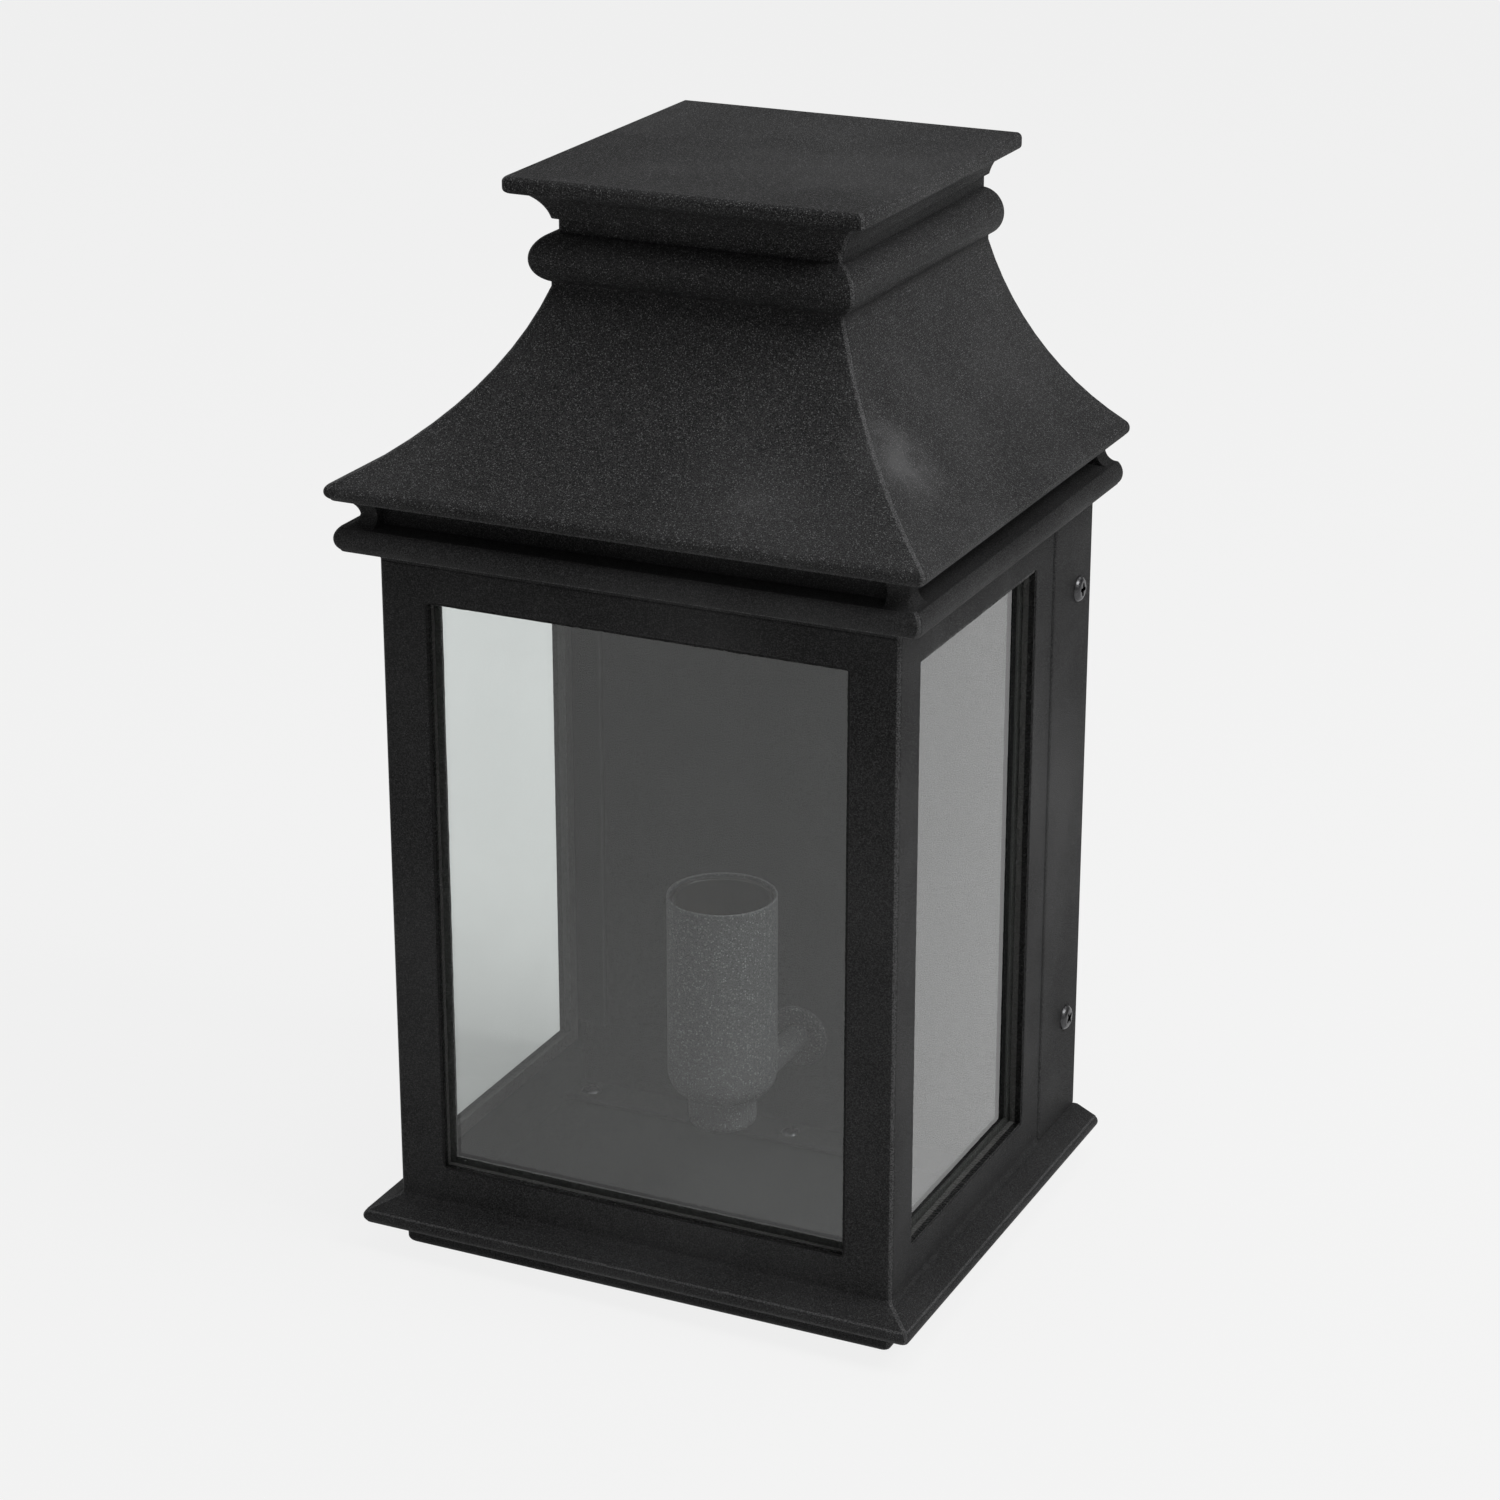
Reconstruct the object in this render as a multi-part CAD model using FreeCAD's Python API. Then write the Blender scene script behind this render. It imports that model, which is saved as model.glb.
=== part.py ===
import FreeCAD, Part
import math
import os

# A cast wall lantern with three glass windows, in millimetres.
# X runs to the right of someone facing the wall, Y into the wall, and Z up. The back lies in the plane Y = 0.
# Shapes are made with Z = 0 under the plinth, and are lowered at the end so that the wall fixing is the origin.

os.makedirs("parts", exist_ok=True)

# Body casting
BODY_WIDTH = 200.0
BODY_DEPTH = 180.7
CASTING_WALL = 4.0
FLOOR_THICKNESS = 4.5
TOP_PLATE = 4.5
TOP_MARGIN = 22.0
CORNER_ROUND = 2.0

# Plinth and base flange
PLINTH_HEIGHT = 8.8
PLINTH_INSET = 1.0
PLINTH_EDGE = 3.0
LIP_OUT = 11.2
LIP_NOSE = 4.8
LIP_ROUND = 0.9
LIP_UNDER_RISE = 1.0
FLANGE_RISE = 5.6
BASE_COVE = 2.4

# Windows
SILL_HEIGHT = 35.5
WINDOW_HEIGHT = 222.7
FRONT_STILE = 18.5
SIDE_FRONT_STILE = 18.0
REAR_STILE = 16.3
WINDOW_CORNER = 2.0
REAR_RETURN = 12.0

# Cornice
TOP_RAIL = 13.2
CORNICE_COVE = 2.8
CORNICE_OUT = 12.0
CORNICE_UNDER_RISE = 2.0
CORNICE_NOSE = 8.8
CORNICE_ROUND = 2.0
SCOTIA_FOOT = 3.9
SCOTIA_FOOT_SAG = 1.2
NECK_OUT = 4.7

# Roof casting
EAVE_OUT = 14.0
SCOTIA_HEAD = 6.1
SCOTIA_HEAD_SAG = 1.8
EAVE_NOSE = 6.0
EAVE_ROUND = 1.8
ROOF_RISE = 62.3
ROOF_SAG = 8.0
SIDE_INSET = 57.5
FRONT_INSET = 64.0
LISTEL_HEIGHT = 1.8
TORUS_HEIGHT = 17.5
TORUS_OUT = 6.0
NECKING_IN = 2.2
NECKING_HEIGHT = 5.0
CAVETTO_STEP = 2.0
CAVETTO_OUT = 8.0
CAVETTO_HEIGHT = 10.0
CAVETTO_SAG = 1.4
SLAB_OUT = 12.2
SLAB_THICKNESS = 6.2
SLAB_ROUND = 2.0
ROOF_RING = 12.7
ROOF_CEILING = 4.5
HOLLOW_SIDE_LIFT = 17.5
HOLLOW_SAG = 4.7
HOLLOW_SHOULDER = 5.0
CROWN_WALL = 6.5
BACK_WALL = 4.5
GAP_FLOOR_RISE = 0.5
GAP_DEPTH = 3.7
CORNER_POST = 3.0
REAR_POST = 9.0

# Back pan and wall bracket
PAN_DEPTH = 38.7
PAN_SHEET = 1.5
PAN_BEND = 1.0
PAN_STEP = 1.0
PAN_GAP = 0.4
PAN_FLANGE = 16.0
BRACKET_SHEET = 2.0
BRACKET_BEND = 2.0
BRACKET_TAB = 22.0
BRACKET_BAND = 20.0
BRACKET_WEB = 70.0
FIXING_SPACING = 120.0
FIXING_HOLE = 5.5
CABLE_HOLE = 20.0

# Glass
PANE_THICKNESS = 3.0
PANE_OVERLAP = 3.0
SEAL_THICKNESS = 0.8
SEAL_SHOW = 0.5

# Lampholder and arm
LAMP_SETBACK = 71.9
CUP_RADIUS = 20.7
CUP_WALL = 1.0
CUP_BASE_HEIGHT = 53.0
CUP_HEIGHT = 81.1
CUP_ROUND = 10.0
KNUCKLE_RADIUS = 12.9
KNUCKLE_HEIGHT = 12.1
KNUCKLE_ROUND = 2.5
ARM_RADIUS = 5.0
ARM_WALL = 1.1
ARM_SOCKET = 6.6
ARM_TAIL = 12.0
ROSETTE_RADIUS = 12.5
ROSETTE_THICKNESS = 3.0
ROSETTE_ROUND = 1.2
NIPPLE_RADIUS = 5.0
NIPPLE_BORE = 3.4
NIPPLE_LENGTH = 14.0
NIPPLE_SINK = 6.0
WIRE_WAY_RADIUS = 2.5
RING_DROP = 1.5
INSERT_BASE = 22.0
RING_HEIGHT = 18.0
MOUTH_RADIUS = 18.3
SHELL_RADIUS = 13.85
SHELL_SHEET = 0.5
SHELL_FLOOR_GAP = 3.4
SHELL_LIP = 1.5
CONTACT_WIDTH = 7.0
CONTACT_SHEET = 0.6
CONTACT_LENGTH = 16.0
CONTACT_LIFT = 2.4

# Fasteners
SIDE_THREAD = 5.0
SIDE_LENGTH = 10.0
SIDE_EDGE = 12.2
SIDE_LOWER_HEIGHT = 62.4
SIDE_UPPER_HEIGHT = 237.7
SMALL_THREAD = 4.0
PAN_SCREW_LENGTH = 4.5
PAN_SCREW_MARGIN = 7.0
ROOF_SCREW_LENGTH = 14.0
ROOF_SCREW_INSET = 12.0
ROOF_BOSS_RADIUS = 5.5
ROOF_BOSS_HEIGHT = 22.0
HEAD_WIDTH_FACTOR = 2.0
HEAD_HEIGHT_FACTOR = 0.68
RECESS_DEPTH_FACTOR = 0.42
RECESS_SPAN_FACTOR = 1.05
RECESS_WIDTH_FACTOR = 0.24
THREAD_FIT = 0.1
CLEARANCE_FIT = 0.3
NUT_FLATS = 17.0
NUT_THICKNESS = 5.0
WASHER_RADIUS = 10.0
WASHER_THICKNESS = 1.2

# Wiring pieces on the bracket
BLOCK_WIDTH = 34.0
BLOCK_HEIGHT = 17.0
BLOCK_DEPTH = 14.0
BLOCK_RISE = 48.0
BLOCK_POLES = 3
POLE_SCREW_RADIUS = 1.8
POLE_SCREW_LENGTH = 3.0
POLE_SCREW_SINK = 1.0
WIRE_HOLE_RADIUS = 1.8
BLOCK_SCREW_THREAD = 3.0
BLOCK_SCREW_SEAT = 6.0
EARTH_DROP = 45.0
EARTH_WASHER_RADIUS = 5.0
EARTH_WASHER_THICKNESS = 1.0
GROMMET_LIP = 2.5
GROMMET_LIP_THICKNESS = 1.5
GROMMET_BORE = 12.0

# Places that follow from the sizes
HALF_WIDTH = BODY_WIDTH / 2
FRONT_Y = -BODY_DEPTH
WINDOW_TOP = SILL_HEIGHT + WINDOW_HEIGHT
LIP_BOTTOM = PLINTH_HEIGHT + LIP_UNDER_RISE
FLANGE_TOP = LIP_BOTTOM + LIP_NOSE + FLANGE_RISE
CORNICE_START = WINDOW_TOP + TOP_RAIL
CORNICE_UNDER = CORNICE_START + CORNICE_COVE + CORNICE_UNDER_RISE
CORNICE_TOP = CORNICE_UNDER + CORNICE_NOSE
BODY_TOP = CORNICE_TOP + SCOTIA_FOOT
EAVE_UNDER = BODY_TOP + SCOTIA_HEAD
EAVE_TOP = EAVE_UNDER + EAVE_NOSE
ROOF_END = EAVE_TOP + ROOF_RISE
TORUS_START = ROOF_END + LISTEL_HEIGHT
TORUS_END = TORUS_START + TORUS_HEIGHT
CAVETTO_START = TORUS_END + NECKING_HEIGHT
SLAB_UNDER = CAVETTO_START + CAVETTO_HEIGHT
SLAB_TOP = SLAB_UNDER + SLAB_THICKNESS
SEAM_Y = -PAN_DEPTH
PAN_HALF = HALF_WIDTH - PAN_STEP
TONGUE_HALF = HALF_WIDTH - CASTING_WALL - CLEARANCE_FIT
PAN_BACK_Y = SEAM_Y + PAN_SHEET
LAMP_Y = FRONT_Y + LAMP_SETBACK
KNUCKLE_BASE = CUP_BASE_HEIGHT - KNUCKLE_HEIGHT
ARM_HEIGHT = KNUCKLE_BASE + KNUCKLE_HEIGHT / 2
CUP_TOP = CUP_BASE_HEIGHT + CUP_HEIGHT
ORIGIN_HEIGHT = (SIDE_LOWER_HEIGHT + SIDE_UPPER_HEIGHT) / 2
BRACKET_FACE_Y = -BRACKET_SHEET
BLOCK_CENTRE = ORIGIN_HEIGHT + BLOCK_RISE
QUARTER_BULGE = 1 - math.sqrt(0.5)


def vec(x, y, z):
    return FreeCAD.Vector(x, y, z)


X_AXIS = vec(1, 0, 0)
Y_AXIS = vec(0, 1, 0)
Z_AXIS = vec(0, 0, 1)


# Outlines: a step is a point, or a point and a bulge for an arc (hollow to the left is positive)
def outline(start, steps, place):
    edges = []
    here = start
    for step in steps:
        end = step[:2]
        if len(step) == 3:
            across = end[0] - here[0]
            rise = end[1] - here[1]
            span = math.hypot(across, rise)
            middle_x = (here[0] + end[0]) / 2 - rise / span * step[2]
            middle_z = (here[1] + end[1]) / 2 + across / span * step[2]
            edges.append(Part.Arc(place(*here), place(middle_x, middle_z), place(*end)).toShape())
        else:
            edges.append(Part.LineSegment(place(*here), place(*end)).toShape())
        here = end
    edges.append(Part.LineSegment(place(*here), place(*start)).toShape())
    return Part.Face(Part.Wire(edges))


def cove(radius):
    return QUARTER_BULGE * radius


# A moulded block: one profile along the front and one along the sides, mitred where they cross
def mitred(start, front_steps, side_steps, back_inset):
    reach = BODY_WIDTH
    low = start[1]
    high = front_steps[-1][1]
    front_close = [(-BODY_DEPTH + back_inset, high), (-BODY_DEPTH + back_inset, low)]
    side_close = [(-HALF_WIDTH, high), (-HALF_WIDTH, low)]
    front_face = outline(start, front_steps + front_close, lambda out, z: vec(-reach, FRONT_Y - out, z))
    side_face = outline(start, side_steps + side_close, lambda out, z: vec(HALF_WIDTH + out, -2 * reach, z))
    half = front_face.extrude(X_AXIS * 2 * reach).common(side_face.extrude(Y_AXIS * 3 * reach))
    return half.fuse(half.mirror(vec(0, 0, 0), X_AXIS)).removeSplitter()


def block(low, high):
    size = [b - a for a, b in zip(low, high)]
    return Part.makeBox(size[0], size[1], size[2], vec(*low))


def rod(radius, length, base, axis):
    return Part.makeCylinder(radius, length, base, axis)


def turned(start, steps, centre, axis):
    side = X_AXIS if abs(axis.x) < 0.5 else Y_AXIS
    face = outline(start, steps, lambda r, h: centre + side * r + axis * h)
    return face.revolve(centre, axis, 360)


def straight_edges(shape, axis, wanted):
    picked = []
    for edge in shape.Edges:
        if edge.Curve.TypeId != "Part::GeomLine":
            continue
        run = edge.Vertexes[-1].Point - edge.Vertexes[0].Point
        if abs(run.normalize().dot(axis)) > 0.999 and wanted(edge.CenterOfMass):
            picked.append(edge)
    return picked


def rounded_block(low, high, radius, axis):
    solid = block(low, high)
    return solid.makeFillet(radius, straight_edges(solid, axis, lambda point: True))


def mirrored(shape):
    return shape.mirror(vec(0, 0, 0), X_AXIS)


# A pan-head screw: its head stands along the axis from the seat, its shank runs the other way
def pan_screw(thread, length, seat, axis):
    radius = thread * HEAD_WIDTH_FACTOR / 2
    height = thread * HEAD_HEIGHT_FACTOR
    edge = height * 0.4
    top = radius * 0.5
    steps = [(radius, 0), (radius, edge), (top, height, -height * 0.12), (0, height)]
    head = turned((0, 0), steps, vec(0, 0, 0), Z_AXIS)
    span = thread * RECESS_SPAN_FACTOR / 2
    width = thread * RECESS_WIDTH_FACTOR / 2
    floor = height - thread * RECESS_DEPTH_FACTOR
    cross = block((-span, -width, floor), (span, width, height + 1))
    cross = cross.fuse(block((-width, -span, floor), (width, span, height + 1)))
    shank = rod(thread / 2, length, vec(0, 0, 0), Z_AXIS * -1)
    screw = head.cut(cross).fuse(shank).removeSplitter()
    screw.Placement = FreeCAD.Placement(seat, FreeCAD.Rotation(Z_AXIS, axis))
    return screw


# Castings
def body_steps():
    return [
        (-PLINTH_INSET, PLINTH_EDGE, -cove(PLINTH_EDGE)),
        (-PLINTH_INSET, PLINTH_HEIGHT),
        (LIP_OUT - LIP_ROUND, LIP_BOTTOM),
        (LIP_OUT - LIP_ROUND, LIP_BOTTOM + LIP_NOSE, -LIP_ROUND),
        (BASE_COVE, FLANGE_TOP),
        (0, FLANGE_TOP + BASE_COVE, cove(BASE_COVE)),
        (0, CORNICE_START),
        (CORNICE_COVE, CORNICE_START + CORNICE_COVE, cove(CORNICE_COVE)),
        (CORNICE_OUT - CORNICE_ROUND, CORNICE_UNDER),
        (CORNICE_OUT - CORNICE_ROUND, CORNICE_TOP, -CORNICE_ROUND),
        (NECK_OUT, BODY_TOP, SCOTIA_FOOT_SAG),
    ]


def pan_screw_seats():
    far = TONGUE_HALF - PAN_SCREW_MARGIN
    return [vec(x, SEAM_Y - PAN_FLANGE / 2, FLOOR_THICKNESS + PAN_SHEET) for x in (-far, 0, far)]


def roof_screw_seats():
    x = HALF_WIDTH - ROOF_SCREW_INSET
    rows = (FRONT_Y + ROOF_SCREW_INSET, -ROOF_SCREW_INSET)
    return [vec(side * x, y, BODY_TOP - TOP_PLATE) for side in (-1, 1) for y in rows]


def side_screw_seats():
    heights = (SIDE_LOWER_HEIGHT, SIDE_UPPER_HEIGHT)
    return [(vec(side * PAN_HALF, -SIDE_EDGE, z), X_AXIS * side) for side in (-1, 1) for z in heights]


def shadow_gaps():
    """The open gap under the eave at the front and both sides, between the corner posts."""
    inside = NECK_OUT - GAP_DEPTH
    low = CORNICE_TOP + GAP_FLOOR_RISE
    high = EAVE_UNDER + 0.1
    along = HALF_WIDTH - CORNER_POST
    front = block((-along, FRONT_Y - EAVE_OUT, low), (along, FRONT_Y - inside, high))
    right = block((HALF_WIDTH + inside, FRONT_Y + CORNER_POST, low), (HALF_WIDTH + EAVE_OUT, -REAR_POST, high))
    return front, right, mirrored(right)


def body_casting():
    steps = body_steps()
    shape = mitred((-PLINTH_INSET - PLINTH_EDGE, 0), steps, steps, 0)
    corners = straight_edges(shape, Z_AXIS, lambda p: p.y < FRONT_Y + PLINTH_INSET + 0.1)
    shape = shape.makeFillet(CORNER_ROUND, corners)
    inner = HALF_WIDTH - CASTING_WALL
    ceiling = BODY_TOP - TOP_PLATE
    shape = shape.cut(block((-inner, FRONT_Y + CASTING_WALL, FLOOR_THICKNESS), (inner, 1, ceiling)))
    behind = HALF_WIDTH + BASE_COVE
    shape = shape.cut(block((-behind, SEAM_Y, FLANGE_TOP), (behind, 1, CORNICE_START)))
    for side in (-1, 1):
        edges = sorted((side * HALF_WIDTH - side * 0.5, side * (inner - REAR_RETURN)))
        strip = block((edges[0], SEAM_Y - CASTING_WALL, SILL_HEIGHT), (edges[1], SEAM_Y, ceiling))
        shape = shape.fuse(strip)
    hatch = HALF_WIDTH - TOP_MARGIN
    low = (-hatch, FRONT_Y + TOP_MARGIN, ceiling - 1)
    shape = shape.cut(block(low, (hatch, -TOP_MARGIN, BODY_TOP + 1)))
    half = HALF_WIDTH - FRONT_STILE
    low = (-half, FRONT_Y - 1, SILL_HEIGHT)
    high = (half, FRONT_Y + CASTING_WALL + 1, WINDOW_TOP)
    shape = shape.cut(rounded_block(low, high, WINDOW_CORNER, Y_AXIS))
    low = (inner - 1, FRONT_Y + SIDE_FRONT_STILE, SILL_HEIGHT)
    high = (HALF_WIDTH + 1, SEAM_Y - REAR_STILE, WINDOW_TOP)
    side_window = rounded_block(low, high, WINDOW_CORNER, X_AXIS)
    shape = shape.cut(side_window).cut(mirrored(side_window))
    for gap in shadow_gaps():
        shape = shape.cut(gap)
    for seat in pan_screw_seats():
        depth = PAN_SCREW_LENGTH + THREAD_FIT
        shape = shape.cut(rod(SMALL_THREAD / 2 + THREAD_FIT, depth, seat, Z_AXIS * -1))
    for seat in roof_screw_seats():
        shape = shape.cut(rod(SMALL_THREAD / 2 + CLEARANCE_FIT, TOP_PLATE, seat, Z_AXIS))
    return shape.removeSplitter()


def roof_steps(inset):
    crown = EAVE_OUT - inset
    neck = crown - NECKING_IN
    slab = crown + SLAB_OUT
    return [
        (EAVE_OUT - EAVE_ROUND, EAVE_UNDER, SCOTIA_HEAD_SAG),
        (EAVE_OUT - EAVE_ROUND, EAVE_TOP, -EAVE_ROUND),
        (crown, ROOF_END, ROOF_SAG),
        (crown, TORUS_START),
        (neck, TORUS_END, -TORUS_OUT - NECKING_IN / 2),
        (neck, CAVETTO_START),
        (neck + CAVETTO_STEP, CAVETTO_START),
        (neck + CAVETTO_STEP + CAVETTO_OUT, SLAB_UNDER, CAVETTO_SAG),
        (slab - SLAB_ROUND, SLAB_UNDER),
        (slab, SLAB_UNDER + SLAB_ROUND, -cove(SLAB_ROUND)),
        (slab, SLAB_TOP - SLAB_ROUND),
        (slab - SLAB_ROUND, SLAB_TOP, -cove(SLAB_ROUND)),
    ]


def hollow_steps(inset):
    crown = EAVE_OUT - inset - CROWN_WALL
    return [
        (NECK_OUT - ROOF_RING, BODY_TOP + HOLLOW_SIDE_LIFT),
        (crown, ROOF_END - HOLLOW_SHOULDER, HOLLOW_SAG),
        (crown, SLAB_TOP - ROOF_CEILING),
    ]


def roof_casting():
    outer = mitred((NECK_OUT, BODY_TOP), roof_steps(FRONT_INSET), roof_steps(SIDE_INSET), 0)
    start = (NECK_OUT - ROOF_RING, BODY_TOP)
    hollow = mitred(start, hollow_steps(FRONT_INSET), hollow_steps(SIDE_INSET), BACK_WALL)
    shape = outer.cut(hollow)
    for seat in roof_screw_seats():
        base = vec(seat.x, seat.y, BODY_TOP)
        shape = shape.fuse(rod(ROOF_BOSS_RADIUS, ROOF_BOSS_HEIGHT, base, Z_AXIS).common(outer))
    for gap in shadow_gaps():
        shape = shape.cut(gap)
    for seat in roof_screw_seats():
        depth = ROOF_SCREW_LENGTH + THREAD_FIT
        shape = shape.cut(rod(SMALL_THREAD / 2 + THREAD_FIT, depth, seat, Z_AXIS))
    return shape.removeSplitter()


# Folded sheet
def back_pan():
    low = FLANGE_TOP + PAN_GAP
    high = CORNICE_START - PAN_GAP
    inner = PAN_HALF - PAN_SHEET
    shape = block((-PAN_HALF, SEAM_Y, low), (PAN_HALF, 0, high))
    shape = shape.cut(block((-inner, PAN_BACK_Y, low - 1), (inner, 1, high + 1)))
    outside = straight_edges(shape, Z_AXIS, lambda p: p.y < SEAM_Y + 0.01)
    shape = shape.makeFillet(PAN_BEND + PAN_SHEET, outside)
    inside = straight_edges(shape, Z_AXIS, lambda p: abs(p.y - PAN_BACK_Y) < 0.01)
    shape = shape.makeFillet(PAN_BEND, inside)
    sheet_top = FLOOR_THICKNESS + PAN_SHEET
    tongue_top = BODY_TOP - TOP_PLATE - PAN_GAP
    tongue = block((-TONGUE_HALF, SEAM_Y, FLOOR_THICKNESS), (TONGUE_HALF, PAN_BACK_Y, tongue_top))
    flange_y = SEAM_Y - PAN_FLANGE
    flange = block((-TONGUE_HALF, flange_y, FLOOR_THICKNESS), (TONGUE_HALF, PAN_BACK_Y, sheet_top))
    angle = tongue.fuse(flange).removeSplitter()
    heel = straight_edges(angle, X_AXIS, lambda p: p.y > PAN_BACK_Y - 0.01 and p.z < FLOOR_THICKNESS + 0.01)
    angle = angle.makeFillet(PAN_BEND + PAN_SHEET, heel)
    throat = straight_edges(angle, X_AXIS, lambda p: abs(p.y - SEAM_Y) < 0.01 and abs(p.z - sheet_top) < 0.01)
    angle = angle.makeFillet(PAN_BEND, throat)
    shape = shape.fuse(angle)
    for seat, axis in side_screw_seats():
        shape = shape.cut(rod(SIDE_THREAD / 2 + CLEARANCE_FIT, 3 * PAN_SHEET, seat, axis * -1))
    for seat in pan_screw_seats():
        shape = shape.cut(rod(SMALL_THREAD / 2 + CLEARANCE_FIT, PAN_SHEET, seat, Z_AXIS * -1))
    shape = shape.cut(rod(ARM_RADIUS + THREAD_FIT, PAN_SHEET, vec(0, SEAM_Y, ARM_HEIGHT), Y_AXIS))
    return shape.removeSplitter()


def bracket_band(height):
    half = PAN_HALF - PAN_SHEET
    low = height - BRACKET_BAND / 2
    high = height + BRACKET_BAND / 2
    inner = half - BRACKET_SHEET
    band = block((-half, -BRACKET_TAB, low), (half, 0, high))
    band = band.cut(block((-inner, -BRACKET_TAB - 1, low - 1), (inner, BRACKET_FACE_Y, high + 1)))
    outside = straight_edges(band, Z_AXIS, lambda p: p.y > -0.01)
    band = band.makeFillet(BRACKET_BEND + BRACKET_SHEET, outside)
    inside = straight_edges(band, Z_AXIS, lambda p: abs(p.y - BRACKET_FACE_Y) < 0.01)
    return band.makeFillet(BRACKET_BEND, inside)


def wall_bracket():
    half_web = BRACKET_WEB / 2
    low = SIDE_LOWER_HEIGHT - BRACKET_BAND / 2
    high = SIDE_UPPER_HEIGHT + BRACKET_BAND / 2
    shape = block((-half_web, BRACKET_FACE_Y, low), (half_web, 0, high))
    for height in (SIDE_LOWER_HEIGHT, SIDE_UPPER_HEIGHT):
        shape = shape.fuse(bracket_band(height))
        for side in (-1, 1):
            spot = vec(side * FIXING_SPACING / 2, BRACKET_FACE_Y, height)
            shape = shape.cut(rod(FIXING_HOLE / 2, BRACKET_SHEET, spot, Y_AXIS))
    for seat, axis in side_screw_seats():
        shape = shape.cut(rod(SIDE_THREAD / 2 + THREAD_FIT, SIDE_LENGTH, seat, axis * -1))
    cable = vec(0, BRACKET_FACE_Y, ORIGIN_HEIGHT)
    shape = shape.cut(rod(CABLE_HOLE / 2, BRACKET_SHEET, cable, Y_AXIS))
    hole = BLOCK_SCREW_THREAD / 2 + THREAD_FIT
    for x in block_screw_places():
        shape = shape.cut(rod(hole, BRACKET_SHEET, vec(x, BRACKET_FACE_Y, BLOCK_CENTRE), Y_AXIS))
    earth = vec(0, BRACKET_FACE_Y, ORIGIN_HEIGHT - EARTH_DROP)
    shape = shape.cut(rod(SMALL_THREAD / 2 + THREAD_FIT, BRACKET_SHEET, earth, Y_AXIS))
    return shape.removeSplitter()


# Glass, each pane lying on a bed of black sealant inside the frame
def front_glass():
    half = HALF_WIDTH - FRONT_STILE
    face = FRONT_Y + CASTING_WALL
    wide = half + PANE_OVERLAP
    low = SILL_HEIGHT - PANE_OVERLAP
    high = WINDOW_TOP + PANE_OVERLAP
    glass_y = face + SEAL_THICKNESS
    bed = block((-wide, face, low), (wide, glass_y, high))
    seen = half - SEAL_SHOW
    inner_low = (-seen, face - 1, SILL_HEIGHT + SEAL_SHOW)
    inner_high = (seen, glass_y + 1, WINDOW_TOP - SEAL_SHOW)
    bed = bed.cut(rounded_block(inner_low, inner_high, WINDOW_CORNER, Y_AXIS))
    pane = block((-wide, glass_y, low), (wide, glass_y + PANE_THICKNESS, high))
    return pane, bed


def right_glass():
    front = FRONT_Y + SIDE_FRONT_STILE
    rear = SEAM_Y - REAR_STILE
    face = HALF_WIDTH - CASTING_WALL
    glass_x = face - SEAL_THICKNESS
    low = SILL_HEIGHT - PANE_OVERLAP
    high = WINDOW_TOP + PANE_OVERLAP
    bed = block((glass_x, front - PANE_OVERLAP, low), (face, rear + PANE_OVERLAP, high))
    inner_low = (glass_x - 1, front + SEAL_SHOW, SILL_HEIGHT + SEAL_SHOW)
    inner_high = (face + 1, rear - SEAL_SHOW, WINDOW_TOP - SEAL_SHOW)
    bed = bed.cut(rounded_block(inner_low, inner_high, WINDOW_CORNER, X_AXIS))
    pane = block((glass_x - PANE_THICKNESS, front - PANE_OVERLAP, low), (glass_x, rear + PANE_OVERLAP, high))
    return pane, bed


# Lampholder
LAMP_AXIS = vec(0, LAMP_Y, 0)
CUP_INSIDE = CUP_RADIUS - CUP_WALL
CUP_FLOOR = CUP_BASE_HEIGHT + CUP_WALL
INSERT_TOP = CUP_TOP - RING_DROP
RING_BASE = INSERT_TOP - RING_HEIGHT
BORE_FLOOR = CUP_FLOOR + INSERT_BASE
NIPPLE_BASE = CUP_BASE_HEIGHT - NIPPLE_SINK


def lampholder_cup():
    hole = NIPPLE_RADIUS + THREAD_FIT
    round_start = CUP_RADIUS - CUP_ROUND
    steps = [
        (round_start, CUP_BASE_HEIGHT),
        (CUP_RADIUS, CUP_BASE_HEIGHT + CUP_ROUND, -cove(CUP_ROUND)),
        (CUP_RADIUS, CUP_TOP),
        (CUP_INSIDE, CUP_TOP),
        (CUP_INSIDE, CUP_BASE_HEIGHT + CUP_ROUND),
        (round_start, CUP_FLOOR, cove(CUP_ROUND - CUP_WALL)),
        (hole, CUP_FLOOR),
    ]
    return turned((hole, CUP_BASE_HEIGHT), steps, LAMP_AXIS, Z_AXIS)


def lampholder_insert():
    hole = NIPPLE_RADIUS + THREAD_FIT
    outside = CUP_INSIDE - THREAD_FIT
    seat = NIPPLE_BASE + NIPPLE_LENGTH
    steps = [
        (CUP_RADIUS - CUP_ROUND - THREAD_FIT, CUP_FLOOR),
        (outside, CUP_BASE_HEIGHT + CUP_ROUND),
        (outside, RING_BASE),
        (SHELL_RADIUS + THREAD_FIT, RING_BASE),
        (SHELL_RADIUS + THREAD_FIT, BORE_FLOOR),
        (NIPPLE_BORE, BORE_FLOOR),
        (NIPPLE_BORE, seat),
        (hole, seat),
    ]
    return turned((hole, CUP_FLOOR), steps, LAMP_AXIS, Z_AXIS)


def lampholder_ring():
    outside = CUP_INSIDE - THREAD_FIT
    steps = [
        (outside, RING_BASE),
        (outside, INSERT_TOP),
        (MOUTH_RADIUS, INSERT_TOP),
    ]
    return turned((MOUTH_RADIUS, RING_BASE), steps, LAMP_AXIS, Z_AXIS)


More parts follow.
